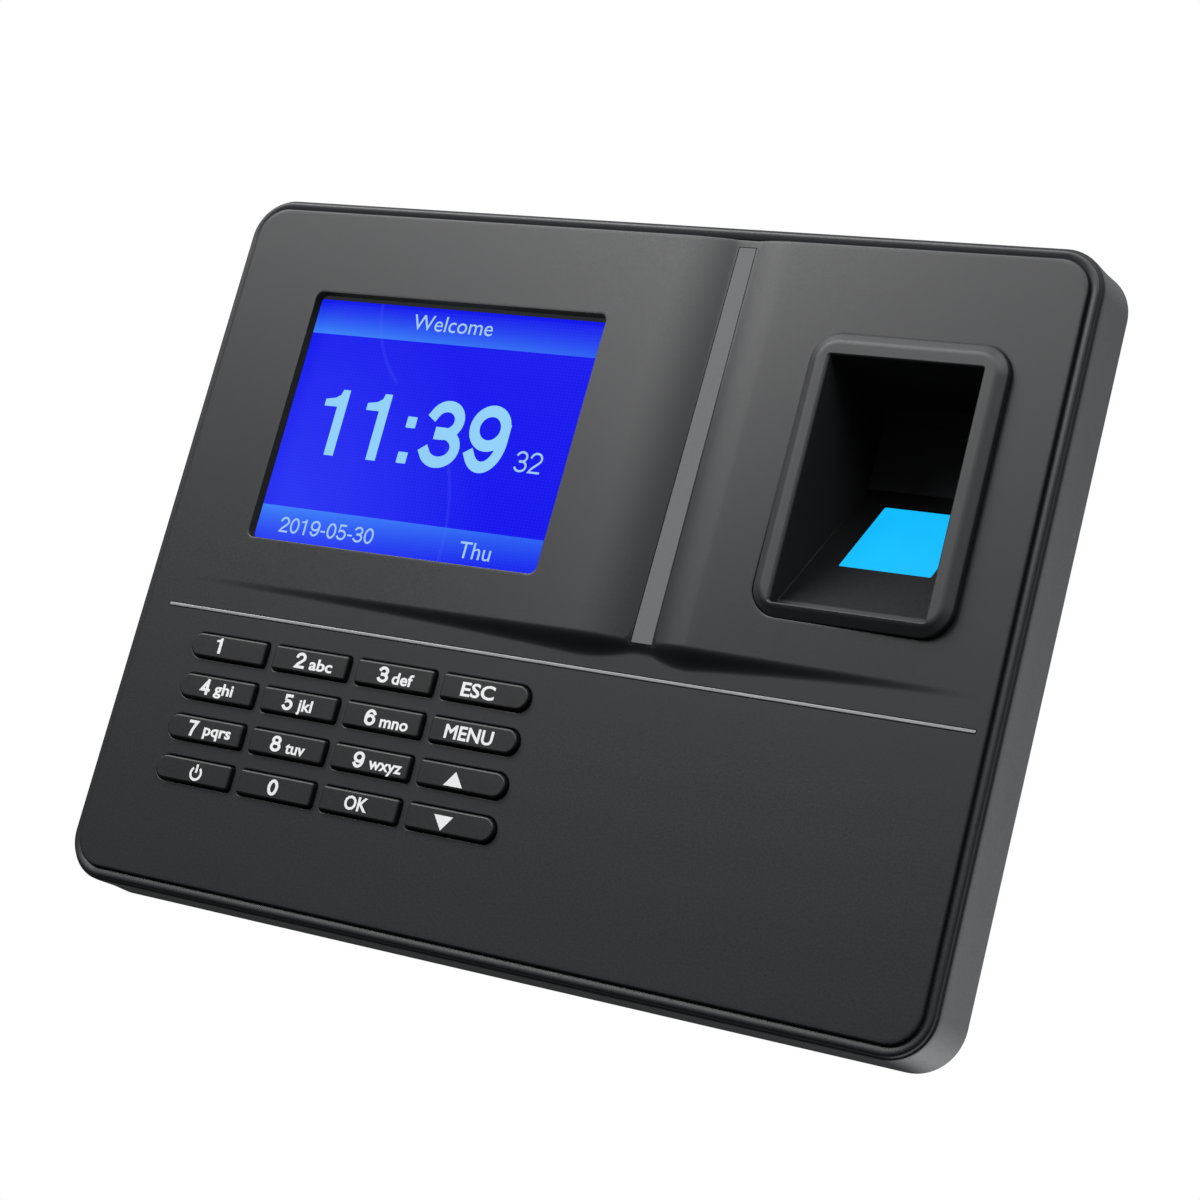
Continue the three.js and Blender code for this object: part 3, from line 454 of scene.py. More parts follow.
def lit_display(name, window, lit_top, glass_y):
    """A lit colour display: bars that glow at their inner edge, over a blue field with faint arcs.
    Real dots are 0.2 mm apart, too fine to show, so the dot lines are drawn 0.75 mm apart."""
    x0, x1, z0, _ = window
    material, tree, place = new_finish(name)
    x, _, z = add_node(tree, "SeparateXYZ", None, {"Vector": place}).outputs
    bars = None
    for edge, inner_edge, dim, bright, beyond in (
        (lit_top, lit_top - HEADER_HEIGHT, 0.1, 0.78, "GREATER_THAN"),
        (z0, z0 + FOOTER_HEIGHT, 0.2, 0.76, "LESS_THAN"),
    ):
        ends = {"From Min": edge * MM, "From Max": inner_edge * MM, "To Min": dim, "To Max": bright}
        bar = add_node(tree, "MapRange", ends, {"Value": z})
        within = add_node(tree, "Math", {"operation": beyond, 1: inner_edge * MM}, {0: z})
        links = {0: bar, 1: within}
        if bars:
            links[2] = bars
        bars = add_node(tree, "Math", {"operation": "MULTIPLY_ADD", 2: 0.0}, links)
    bar_curve = add_node(tree, "Math", {"operation": "POWER", 1: 2.1}, {0: bars})
    across = add_node(
        tree, "MapRange", {"From Min": x0 * MM, "From Max": x1 * MM, "To Min": 1.0, "To Max": 0.5},
        {"Value": x},
    )
    bar_glow = add_node(tree, "Math", {"operation": "MULTIPLY"}, {0: bar_curve, 1: across})
    threads = []
    for direction, spacing, waver in (("X", 0.75, 0.3), ("Z", 0.6, 0.6)):
        wave = {"bands_direction": direction, "Scale": 0.31 / (spacing * MM), "Distortion": waver}
        threads.append(add_node(tree, "TexWave", wave, {"Vector": place}).outputs["Fac"])
    weave = add_node(tree, "Math", {"operation": "MULTIPLY"}, {0: threads[0], 1: threads[1]})
    near_corner = add_node(
        tree, "VectorMath", {"operation": "DISTANCE", 1: (x0 * MM, glass_y * MM, z0 * MM)},
        {0: place},
    )
    light = add_node(
        tree, "MapRange", {"From Min": 12 * MM, "From Max": 52 * MM, "To Min": 0.26, "To Max": 0.0},
        {"Value": near_corner},
    )
    arcs = add_node(tree, "Math", {"operation": "MULTIPLY_ADD", 1: 0.1}, {0: weave, 2: light})
    # Two faint arcs meet in a long S: centre x and z, radius, and the side of a line each keeps to.
    for centre_x, centre_z, radius, side_of, edge in (
        (x0 + 38, z0 + 52.4, 23.6, "LESS_THAN", x0 + 23),
        (x0 + 3.2, z0 + 2.8, 40.0, "GREATER_THAN", x0 + 38),
    ):
        reach = add_node(
            tree, "VectorMath",
            {"operation": "DISTANCE", 1: (centre_x * MM, glass_y * MM, centre_z * MM)},
            {0: place},
        )
        off = add_node(tree, "Math", {"operation": "SUBTRACT", 1: radius * MM}, {0: reach})
        size = add_node(tree, "Math", {"operation": "ABSOLUTE"}, {0: off})
        line = add_node(
            tree, "MapRange", {"From Min": 0.0, "From Max": 0.55 * MM, "To Min": 0.16, "To Max": 0.0},
            {"Value": size},
        )
        side = add_node(tree, "Math", {"operation": side_of, 1: edge * MM}, {0: x})
        arcs = add_node(tree, "Math", {"operation": "MULTIPLY_ADD"}, {0: line, 1: side, 2: arcs})
    field = add_node(
        tree, "Mix", {"data_type": "RGBA", 6: linear("#0b0bec"), 7: linear("#4a5cff")},
        {0: arcs},
    )
    glow = add_node(tree, "Mix", {"data_type": "RGBA", 7: linear("#4aa6ff")}, {0: bar_glow, 6: field})
    is_lit = add_node(tree, "Math", {"operation": "LESS_THAN", 1: lit_top * MM}, {0: z})
    # The black border above the lit part glows a faint grey: painted light that lifts it out of the shade of
    # its recess.
    shown = add_node(tree, "Mix", {"data_type": "RGBA", 6: linear("#2a2b2d")}, {0: is_lit, 7: glow})
    shader = add_node(
        tree, "BsdfPrincipled",
        {
            "Base Color": linear("#08080c"), "Roughness": 0.3, "Specular IOR Level": 0.04,
            "Emission Strength": 1.0,
        },
        {"Emission Color": shown},
    )
    add_node(tree, "OutputMaterial", None, {"Surface": shader})
    return material


def circuit_board_laminate():
    """Glass-epoxy board under green solder mask, with paler copper tracks that run in steps under it."""
    material, tree, place = new_finish("solder_masked_laminate")
    tracks = add_node(
        tree, "TexVoronoi",
        {"distance": "CHEBYCHEV", "feature": "DISTANCE_TO_EDGE", "Scale": 1 / (5 * MM)},
        {"Vector": place},
    )
    line = add_node(tree, "Math", {"operation": "LESS_THAN", 1: 0.06}, {0: tracks})
    colour = add_node(
        tree, "Mix", {"data_type": "RGBA", 6: linear("#0f3f26"), 7: linear("#2c7a48")},
        {0: line},
    )
    bump = add_node(tree, "Bump", {"Strength": 0.4, "Distance": 0.035 * MM}, {"Height": line})
    shader = add_node(
        tree, "BsdfPrincipled", {"Roughness": 0.35, "IOR": 1.55},
        {"Base Color": colour, "Normal": bump},
    )
    add_node(tree, "OutputMaterial", None, {"Surface": shader})
    return material


CASING = moulded("moulded_abs_graphite", "#1f2022", "#232427", 0.40, 0.5, 0.02)
BEZEL = moulded("moulded_abs_bezel", "#252628", "#292a2c", 0.5, 0.4, 0.015, 0.6)
HOLLOW = moulded("eroded_abs_matt_black", "#2e2f32", "#343538", 0.7, 0.6, 0.02, 0.2)
KEYS = moulded("moulded_abs_black_keys", "#141517", "#18191b", 0.42, 0.4, 0.015)
# A pale glossy finish for the lip at the foot of the finger hollow: a painted highlight along that edge.
PAINTED_HIGHLIGHT_LIP = moulded("abs_edge_painted_highlight", "#505153", "#5a5b5d", 0.3, 0.4, 0.01)
# Black satin plastic, its colour darkened further as painted shade for the ramp deep in the finger hollow.
BLACK_SATIN_AND_SHADE = moulded("moulded_abs_black_satin_and_painted_shade", "#0e0f11", "#131416", 0.4, 0.35, 0.012)
REAR = moulded("moulded_abs_coarse_texture", "#242527", "#2b2c2f", 0.55, 0.9, 0.05)
INK = thin_film("pad_printed_white_ink", "#f2f3f4", "#ffffff", 0.6)
STRIPE = thin_film("satin_grey_lacquer", "#626365", "#696a6c", 0.6)
SILVER = metal("hot_foil_silver", "#8d8e90", "#a9aaac", 0.42, (6.0, 1.0, 0.3), 0.7)
ZINC = metal("zinc_plated_steel", "#9a9ca0", "#b9bbbf", 0.35, (2.0, 2.0, 2.0))
BRACKET = metal("rolled_galvanised_steel", "#86888b", "#a3a5a8", 0.42, (14.0, 3.0, 1.2))
SOCKET = metal("nickel_plated_socket", "#a8a8a6", "#c4c4c0", 0.28, (1.0, 1.0, 4.0))
BLACK_RESIN = moulded("filled_black_resin", "#141416", "#1b1b1e", 0.5, 0.6, 0.02)
SILICONE = moulded("moulded_silicone_grey", "#474b50", "#555a60", 0.75, 1.2, 0.03)
WHITE_PLASTIC = moulded("moulded_white_pc", "#d8d8d4", "#e6e6e2", 0.55, 1.0, 0.02)
LENS = moulded("moulded_clear_acrylic", "#b9c2c8", "#d4dade", 0.08, 4.0, 0.002)
RIBBON = metal("copper_ribbon_film", "#8f5722", "#b8742f", 0.4, (0.6, 40.0, 40.0), 0.2)
BOARD = circuit_board_laminate()
SENSOR = lit_glass("backlit_sensor_glass", "#10b6fa", "#14c4ff", "#0b2a38", 0.98)

# ---------------------------------------------------------------- front panel


def smooth_step(t):
    """A rise from 0 to 1 that starts and ends level."""
    return t * t * (3 - 2 * t)


def clamp(t):
    """The value held between 0 and 1."""
    return min(1.0, max(0.0, t))


def rise(x, z):
    """How far the panel's face stands in front of its flat lower part, in millimetres."""
    down = clamp((PANEL_Z1 - z) / (PANEL_Z1 - WING_STEP_Z))
    crest = CREST_RISE * down
    floor = (FLOOR_RISE + FLOOR_DROP) * down - FLOOR_DROP
    left_edge = STRIPE_X - STRIPE_HALF_LOW
    right_edge = STRIPE_X + STRIPE_HALF_LOW
    height = floor
    if x < WING_LEFT_CREST:
        height = crest * clamp((x - WING_LEFT_TAIL) / (WING_LEFT_CREST - WING_LEFT_TAIL)) ** 2
    elif x > WING_RIGHT_CREST:
        height = crest * clamp((WING_RIGHT_TAIL - x) / (WING_RIGHT_TAIL - WING_RIGHT_CREST)) ** 2
    elif x < left_edge:
        height = crest + (floor - crest) * ((x - WING_LEFT_CREST) / (left_edge - WING_LEFT_CREST)) ** 2
    elif x > right_edge:
        height = crest + (floor - crest) * ((WING_RIGHT_CREST - x) / (WING_RIGHT_CREST - right_edge)) ** 2
    if z >= WING_STEP_Z:
        return height
    foot_z = WING_STEP_Z - 1.3 - 1.1 * max(0.0, height)
    return height * smooth_step(clamp((z - foot_z) / (WING_STEP_Z - foot_z)))


def face_y(drop=0.0):
    """The panel's face as a depth for each point, sunk by a drop."""
    return lambda x, z: FRONT_Y - rise(x, z) + drop


def steps(*stops):
    """Positions from the first stop to the last: pairs of a stop and the spacing up to it."""
    values = [stops[0]]
    for stop, spacing in stops[1:]:
        start = values[-1]
        count = max(1, round(abs(stop - start) / spacing))
        values += [start + (stop - start) * i / count for i in range(1, count + 1)]
    return values


# How far a cap's edges lie inside the frame's key: left, right, low and high.
CAP_INSETS = (0.25, 1.45, 1.4, 0.7)


def key_outline(name, grow=0.0, grow_z=None):
    """The outline of a key's cap. The first and last keys of a row have round outer ends."""
    x0, x1, _, _, z0, z1 = span(name)
    grow_z = grow if grow_z is None else grow_z
    left, right, low, high = CAP_INSETS
    x0, x1 = x0 + left - grow, x1 - right + grow
    z0, z1 = z0 + low - grow_z, z1 - high + grow_z
    column = [row.index(name) for row in KEY_ROWS if name in row][0]
    half = (z1 - z0) / 2 - 0.01
    corner = 0.5 + max(min(grow, grow_z), -0.35)
    return rounded(x0, x1, z0, z1, half if column == 0 else corner, half if column == 3 else corner, steps=7)


GLASS_X0, GLASS_X1, GLASS_Y, _, GLASS_Z0, GLASS_Z1 = span("lcd_glass")
WINDOW = (GLASS_X0 + 2.15, GLASS_X1 - 0.75, GLASS_Z0 + 2.0, GLASS_Z1 - 1.5)
LIT_TOP = GLASS_Z1 - 2.2
BEZEL_X0, BEZEL_X1, BEZEL_Y, _, BEZEL_Z0, BEZEL_Z1 = span("finger_guide")
POCKET_X0, POCKET_X1 = BEZEL_X0 + 3.8, BEZEL_X1 - 3.8
POCKET_Z0, POCKET_Z1 = BEZEL_Z0 + 2.45, BEZEL_Z1 - 3.4
BEZEL_X1 += 0.5
BEZEL_Z1 += 1.0
BEZEL_MIDDLE = ((BEZEL_X0 + BEZEL_X1) / 2, (BEZEL_Z0 + BEZEL_Z1) / 2)
BEZEL_HALF = ((BEZEL_X1 - BEZEL_X0) / 2, (BEZEL_Z1 - BEZEL_Z0) / 2)


def stripe_outline(grow=0.0):
    """The tapering stripe's outline, grown by an amount."""
    low, high = STRIPE_HALF_LOW + grow, STRIPE_HALF_HIGH + grow
    return [
        (STRIPE_X - low, STRIPE_Z0 - grow), (STRIPE_X + low, STRIPE_Z0 - grow),
        (STRIPE_X + high, STRIPE_Z1 + grow), (STRIPE_X - high, STRIPE_Z1 + grow),
    ]


DIVIDER_X0, DIVIDER_X1, _, _, DIVIDER_Z0, DIVIDER_Z1 = span("divider_trim")


def build_front_panel():
    """The sculpted cover plate: eased outer edge, openings with a fine broken edge, sunk trim seats."""
    half_x, half_z = (PANEL_X1 - PANEL_X0) / 2, (PANEL_Z1 - PANEL_Z0) / 2
    rim = divided(box_outline(half_x, half_z, PANEL_RADIUS, steps=14), 1.2)
    bezel_hole = box_outline(BEZEL_HALF[0] + 0.08, BEZEL_HALF[1] + 0.08, 5.58, BEZEL_MIDDLE, 10)
    openings = [(0.5, divided(rounded(*WINDOW, 1.5, steps=6), 1.5)), (0.5, divided(bezel_hole, 1.5))]
    for name in sum(KEY_ROWS, []):
        openings.append((0.28, divided(tidy_loop(key_outline(name, 0.33)), 3.0)))
    trim = (DIVIDER_X0 - 0.1, DIVIDER_X1 + 0.1, DIVIDER_Z0 - 0.1, DIVIDER_Z1 + 0.1)
    seats = [divided(stripe_outline(0.1), 2.0), divided(rounded(*trim, 0.3, steps=3), 4.0)]
    shape = Shape()
    edge = [(-0.9, 0.0), (-0.34, 0.0), (-0.22, 0.025), (-0.1, 0.09), (-0.02, 0.2), (0.0, 0.34)]
    shape.bands([ring(grown(rim, shift), face_y(drop)) for shift, drop in edge] + [ring(rim, PANEL_BACK_Y)])
    for margin, opening in openings:
        breaks = [(margin, 0.0), (0.14, 0.0), (0.05, 0.03), (0.0, 0.12)]
        rings = [ring(grown(opening, shift), face_y(drop)) for shift, drop in breaks]
        shape.bands(rings + [ring(opening, PANEL_BACK_Y)])
    for seat in seats:
        shape.bands([ring(grown(seat, 0.3), face_y()), ring(grown(seat, 0.05), face_y())])
        shape.bands([ring(grown(seat, 0.05), face_y()), ring(seat, face_y(0.06)), ring(seat, face_y(0.5))])
        shape.add(*filled(seat, [], face_y(0.5)))
    # The skin is finest where its slope changes: in the valley and on the step.
    columns = steps(
        -88, (-83, 1.6), (0, 1.9), (9, 1.0), (19.5, 0.55), (24.5, 1.0), (31.5, 0.5), (40, 1.0), (88, 1.9),
    )
    rows = steps(-66.5, (-15, 6.0), (-13.4, 0.4), (-8.5, 0.22), (-7, 0.5), (67, 1.9))
    holes = [grown(opening, margin) for margin, opening in openings] + [grown(seat, 0.3) for seat in seats]
    shape.add(*filled(grown(rim, -0.9), holes, face_y(), columns, rows))
    shape.add(*filled(rim, [opening for _, opening in openings], PANEL_BACK_Y))
    return piece("panel_plate", shape, CASING, replaces=["front_panel"], crease=40)


build_front_panel()

# The stripe is a lacquered strip pressed into the valley, its long edges just broken.
stripe = Shape().solid([
    ring(divided(stripe_outline(), 3.0), face_y(STRIPE_DEPTH)),
    ring(divided(stripe_outline(), 3.0), face_y(0.02)),
    ring(divided(stripe_outline(-0.08), 3.0), face_y(-0.03)),
])
piece("valley_stripe", stripe, STRIPE, replaces=["stripe_inlay"])

divider_loop = rounded(DIVIDER_X0, DIVIDER_X1, DIVIDER_Z0, DIVIDER_Z1, 0.28, steps=4)
divider = Shape().solid([
    ring(divider_loop, FRONT_Y + 0.4), ring(divider_loop, FRONT_Y),
    ring(grown(divider_loop, -0.12), FRONT_Y - 0.08),
])
piece("silver_divider", divider, SILVER, replaces=["divider_trim"])

# ---------------------------------------------------------------- front housing


def build_front_housing():
    """The surrounding frame: a rounded bead beside the groove, a stepped shoulder, and drafted walls."""
    corner = PANEL_RADIUS + 1.5
    bead = 1.45                         # from the panel's edge to just past the crown of the bead
    half_x, half_z = PANEL_X1 + bead, PANEL_Z1 + bead

    def at(shift, y):
        """A ring about the panel at a depth, moved out from the bead's line by a shift."""
        return ring(box_outline(half_x + shift, half_z + shift, corner + shift, steps=14), y)

    wall = 2.2
    # The walls all but touch the rear cover, so that no light passes at the seam.
    seam_y = HOUSING_BACK_Y + GAP - 0.04
    profile = [
        (-1.42, 2.3), (-1.42, 0.9), (-1.3, 0.85), (-1.1, 0.78), (-0.85, 0.71), (-0.55, 0.65), (-0.25, 0.61),
        (0.02, 0.63), (0.22, 0.74), (0.36, 0.93), (0.45, 1.15), (0.53, 1.33), (0.63, 1.44), (0.74, 1.52),
        (0.83, 1.65), (0.89, 1.88), (0.92, 2.25), (0.95, 2.9), (1.0, 8.0),
    ]
    outer = [at(shift, FRONT_Y + depth) for shift, depth in profile] + [
        at(HOUSING_X - half_x, seam_y - 0.35), at(HOUSING_X - half_x - 0.1, seam_y - 0.1),
        at(HOUSING_X - half_x - 0.4, seam_y),
    ]
    inner_loop = box_outline(HOUSING_X - wall, HOUSING_Z - wall, corner + 1.3 - wall, steps=14)
    groove_loop = box_outline(half_x - 1.42, half_z - 1.42, corner - 1.42, steps=14)
    web_front, web_back = FRONT_Y + 2.3, FRONT_Y + 3.8
    screen_cut = rounded(GLASS_X0 - 0.5, GLASS_X1 + 0.5, GLASS_Z0 - 0.5, GLASS_Z1 + 0.5, 0.8, steps=3)
    keypad_cut = rounded(-76.5, 5.5, -51.5, -18.1, 0.8, steps=3)
    pocket_cut = rounded(BEZEL_MIDDLE[0] - 16.95, BEZEL_MIDDLE[0] + 16.95, -1.6, 49.9, 0.8, steps=3)
    cuts = [screen_cut, keypad_cut, pocket_cut]
    shape = Shape().bands(outer + [ring(inner_loop, seam_y), ring(inner_loop, web_back)])
    shape.add(*filled(inner_loop, cuts, web_back))
    shape.add(*filled(groove_loop, cuts, web_front))
    for loop in cuts:
        shape.bands([ring(loop, web_front), ring(loop, web_back)])
    usb_x, _, usb_y0, usb_y1, usb_z0, usb_z1 = span("usb_port")
    slot = block(usb_x - 3, usb_x + 4.5, usb_y0 - 0.35, usb_y1 + 0.35, usb_z0 - GAP, usb_z1 + GAP)
    boss_places = [(x, z) for x in (-78, 78) for z in (-60, 60)]
    bosses = [rod(place, 3.5, FRONT_Y + 3.0, HOUSING_BACK_Y - 0.01, 28) for place in boss_places]
    mesh = carved(shape, joins=bosses, cuts=[slot])
    return placed("housing_frame", mesh, CASING, replaces=["front_housing"], crease=38)


build_front_housing()

# ---------------------------------------------------------------- finger pocket

RAMP_SLOPE = 1.2
RAMP_Y, RAMP_Z = FRONT_Y + 0.1, BEZEL_Z0 + 2.7
POCKET_BACK_Y = span("finger_guide")[3] - 1.6


def ramp_z(y):
    """The height of the ramp's face at a depth."""
    return RAMP_Z + RAMP_SLOPE * (y - RAMP_Y)


def ramp_plate(half_x, along0, along1, under0, under1, ease=0.0):
    """A plate square to the ramp: distances up it and depths under it, eased along its top edges."""
    middle_x = (POCKET_X0 + POCKET_X1) / 2
    angle = math.atan(RAMP_SLOPE)
    c, s = math.cos(angle), math.sin(angle)

    def level(shift, under):
        """The plate's outline at a depth under the ramp, drawn in by a shift."""
        loop = rounded(-half_x + shift, half_x - shift, along0 + shift, along1 - shift, 0.3, steps=3)
        return [
            (middle_x + x, RAMP_Y + c * along + s * under, RAMP_Z + s * along - c * under)
            for x, along in loop
        ]

    rings = [level(ease, under0)] + ([level(0, under0 + ease)] if ease else []) + [level(0, under1)]
    return Shape().solid(rings)


def build_finger_guide():
    """The raised bezel and the hollow behind it, whose floor is the ramp that a fingertip slides up."""
    x0, x1 = POCKET_X0, POCKET_X1
    collar_profile = [
        (0.0, PANEL_BACK_Y - 0.3), (0.0, FRONT_Y), (0.0, BEZEL_Y + 1.15), (-0.06, BEZEL_Y + 0.98),
        (-0.2, BEZEL_Y + 0.86), (-0.42, BEZEL_Y + 0.74), (-1.45, BEZEL_Y + 0.2), (-1.65, BEZEL_Y + 0.12),
        (-1.85, BEZEL_Y + 0.06), (-2.1, BEZEL_Y + 0.02), (-2.4, BEZEL_Y),
    ]
    half_x, half_z = BEZEL_HALF
    collar = Shape().solid([
        ring(box_outline(half_x + shift, half_z + shift, 5.5 + shift, BEZEL_MIDDLE, 10), y)
        for shift, y in collar_profile
    ])
    # The bar under the hollow leans back, so that the finger meets no square edge.
    lean = 0.22
    collar.points = [
        (x, y + max(0.0, POCKET_Z0 - 0.2 - z) * lean * clamp((FRONT_Y - y) / 1.5), z)
        for x, y, z in collar.points
    ]
    wall = 1.6
    under = 2.0 * math.sqrt(1 + RAMP_SLOPE ** 2)
    back_y = POCKET_BACK_Y + wall

    def shell_ring(y, top_drop=0.0):
        """The shell's outside at a depth; its underside follows the ramp."""
        low = RAMP_Z - under + RAMP_SLOPE * (y - RAMP_Y)
        return ring(rounded(x0 - wall, x1 + wall, low, POCKET_Z1 + wall - top_drop, 1.0, steps=5), y)

    shell = Shape().solid([
        shell_ring(PANEL_BACK_Y - 0.5), shell_ring(back_y - 3, 0.8), shell_ring(back_y, 3.0),
    ])

    def hollow_ring(y, flare=0.0, top_drop=0.0, radius=0.35):
        """The hollow's outline at a depth; a flare opens it, most of all to the left."""
        low = POCKET_Z0 if y < RAMP_Y else ramp_z(y)
        return ring(rounded(x0 + 0.4 - 1.7 * flare, x1 + flare, low - flare, POCKET_Z1 - top_drop + flare,
                            radius + flare, steps=6), y)

    hollow = Shape().solid([
        hollow_ring(BEZEL_Y - 1.5, 0.5), hollow_ring(BEZEL_Y - 0.02, 0.44),
        hollow_ring(BEZEL_Y + 0.06, 0.28), hollow_ring(BEZEL_Y + 0.19, 0.13),
        hollow_ring(BEZEL_Y + 0.36, 0.04), hollow_ring(BEZEL_Y + 0.55),
        hollow_ring(RAMP_Y - 0.01), hollow_ring(RAMP_Y + 0.8),
        hollow_ring(POCKET_BACK_Y - 2, 0, 1.0), hollow_ring(POCKET_BACK_Y, 0, 3.0),
    ])
    sensor_hole = ramp_plate(8.75 + GAP, 13.35 - GAP, 32.45 + GAP, -1.0, 5.0)
    mesh = carved(collar, joins=[shell], cuts=[hollow, sensor_hole])
    thing = placed("finger_guide_shell", mesh, BEZEL, replaces=["finger_guide"], crease=34)
    # Inside the mouth the hollow is matt black, and its ramp is satin black, darkened as painted shade; the
    # lip at the mouth's lower edge is pale, a painted highlight.
    for finish in (HOLLOW, BLACK_SATIN_AND_SHADE, PAINTED_HIGHLIGHT_LIP):
        thing.data.materials.append(finish)
    for face in thing.data.polygons:
        where = face.center / MM
        on_lip = BEZEL_Y + 0.02 < where.y < BEZEL_Y + 0.7 and abs(where.z - POCKET_Z0 + 0.1) < 0.45
        in_width = x0 - 0.2 < where.x < x1 + 0.2
        in_height = POCKET_Z0 - 0.2 < where.z < POCKET_Z1 + 0.2
        # The lip's upward faces take the pale finish: a painted highlight along the mouth's lower edge.
        if on_lip and face.normal.z > 0.35:
            face.material_index = 3
        elif where.y > BEZEL_Y + 0.5 and in_width and in_height and where.z > ramp_z(where.y) - 0.1:
            near_ramp = abs(where.z - ramp_z(max(where.y, RAMP_Y))) < 0.6
            face.material_index = 2 if face.normal.z > 0.3 and near_ramp else 1
    return thing


build_finger_guide()
sensor_plate = ramp_plate(8.75, 13.35, 32.45, 0.1, 1.9, 0.12)
sensor_window = piece("lit_sensor_window", sensor_plate, SENSOR, replaces=["sensor_window"])

# ---------------------------------------------------------------- display

glass_rings = [
    ring(rounded(GLASS_X0 + inset, GLASS_X1 - inset, GLASS_Z0 + inset, GLASS_Z1 - inset, 0.5, steps=4), y)
    for inset, y in ((0.0, GLASS_Y + 1.8), (0.0, GLASS_Y + 0.15), (0.15, GLASS_Y))
]
DISPLAY = lit_display("backlit_colour_display", WINDOW, LIT_TOP, GLASS_Y)
screen = piece("display_module", Shape().solid(glass_rings), DISPLAY, replaces=["lcd_glass"])
# The sensor's glass and the display throw no pool of light on what is near them.
for lit_piece in (sensor_window, screen):
    lit_piece.visible_diffuse = False
    lit_piece.visible_glossy = False

# ---------------------------------------------------------------- lettering

CAP_HEIGHT = 0.682                      # of the built-in letters at size 1
DIGIT_LEFT, DIGIT_WIDTH, DIGIT_ADVANCE = 0.03, 0.69, 0.76
STROKE_STEP = 0.22                      # how much of its height each later stroke of a digit loses


def half_turned(path):
    """A pen stroke turned upside down within its box."""
    return [(1 - x, 1 - z) for x, z in path]


# Digits as pen strokes in a box 1 wide and 1 high; a stroke may be closed.
SIX_BOWL = oval(0.5, 0.31, 0.5, 0.31, 28)
SIX_BACK = arc(0.53, 0.52, 0.53, 0.48, 38, 180) + [(0.0, 0.31)]
DIGITS = {
    "0": [(oval(0.5, 0.5, 0.48, 0.5, 32), True)],
    "2": [(arc(0.49, 0.72, 0.47, 0.28, 168, -38)
           + [(0.55, 0.37), (0.24, 0.2), (0.03, 0.0), (0.93, 0.0)], False)],
    "3": [(arc(0.47, 0.75, 0.44, 0.25, 158, -88) + [(0.36, 0.5)], False),
          ([(0.36, 0.52)] + arc(0.48, 0.26, 0.5, 0.26, 86, -156), False)],
    "4": [([(0.7, 0.97), (0.02, 0.27), (0.94, 0.27)], False), ([(0.72, 1.0), (0.72, 0.0)], False)],
    "5": [([(0.84, 1.0), (0.2, 1.0), (0.1, 0.5)] + arc(0.48, 0.31, 0.5, 0.31, 132, -152), False)],
    "6": [(SIX_BOWL, True), (SIX_BACK, False)],
    "7": [([(0.08, 1.0), (0.96, 1.0), (0.7, 0.66), (0.5, 0.32), (0.42, 0.0)], False)],
    "8": [(oval(0.5, 0.76, 0.42, 0.24, 26), True), (oval(0.5, 0.27, 0.5, 0.27, 28), True)],
    "9": [(half_turned(SIX_BOWL), True), (half_turned(SIX_BACK), False)],
}


def stroke_solid(path, width, closed):
    """A pen stroke of even width along a path; open ends are square and reach half a width further."""
    path = [np.array(p, float) for p in path]
    if not closed:
        first = path[0] - path[1]
        last = path[-1] - path[-2]
        path[0] = path[0] + first / np.linalg.norm(first) * width / 2
        path[-1] = path[-1] + last / np.linalg.norm(last) * width / 2
    count = len(path)
    points = []
    for i, here in enumerate(path):
        before = here - path[i - 1] if closed or i > 0 else path[1] - here
        after = path[(i + 1) % count] - here if closed or i < count - 1 else before
        first = np.array([-before[1], before[0]]) / np.linalg.norm(before)
        second = np.array([-after[1], after[0]]) / np.linalg.norm(after)
        side = (first + second) / max(np.dot(first + second, first), 0.5) * width / 2
        for x, z in (here + side, here - side):
            points += [(x, z, 0.0), (x, z, 1.0)]
    faces = []
    for i in range(count if closed else count - 1):
        a, b = 4 * i, 4 * ((i + 1) % count)
        sides = ((0, 1), (1, 3), (3, 2), (2, 0))
        faces += [(a + near, a + far, b + far, b + near) for near, far in sides]
    if not closed:
        faces += [(0, 2, 3, 1), (4 * count - 4, 4 * count - 3, 4 * count - 1, 4 * count - 2)]
    return points, faces


def letter_solid(text, bold):
    """Letters at size 1 as points and faces; the third value runs from 0 at the back to 1 at the front."""
    curve = bpy.data.curves.new("letters", "FONT")
    curve.body = text
    curve.size = 1.0
    curve.resolution_u = 3
    curve.extrude = 0.02
    curve.bevel_depth = bold
    curve.bevel_resolution = 1
    mesh = settled(linked("letters", curve))
    half = 0.02 + bold
    points = [(v.co.x, v.co.y, (v.co.z + half) / (2 * half)) for v in mesh.vertices]
    faces = [tuple(p.vertices) for p in mesh.polygons]
    bpy.data.meshes.remove(mesh)
    bpy.data.curves.remove(curve)
    return points, faces


def loop_solid(loop):
    """An outline as points and faces like those of letters."""
    shape = Shape().solid([[(x, z, d) for x, z in loop] for d in (0.0, 1.0)])
    return shape.points, shape.faces


def merged(solids):
    """Several solids as one set of points and faces."""
    shape = Shape()
    for points, faces in solids:
        shape.add(points, faces)
    return shape.points, shape.faces


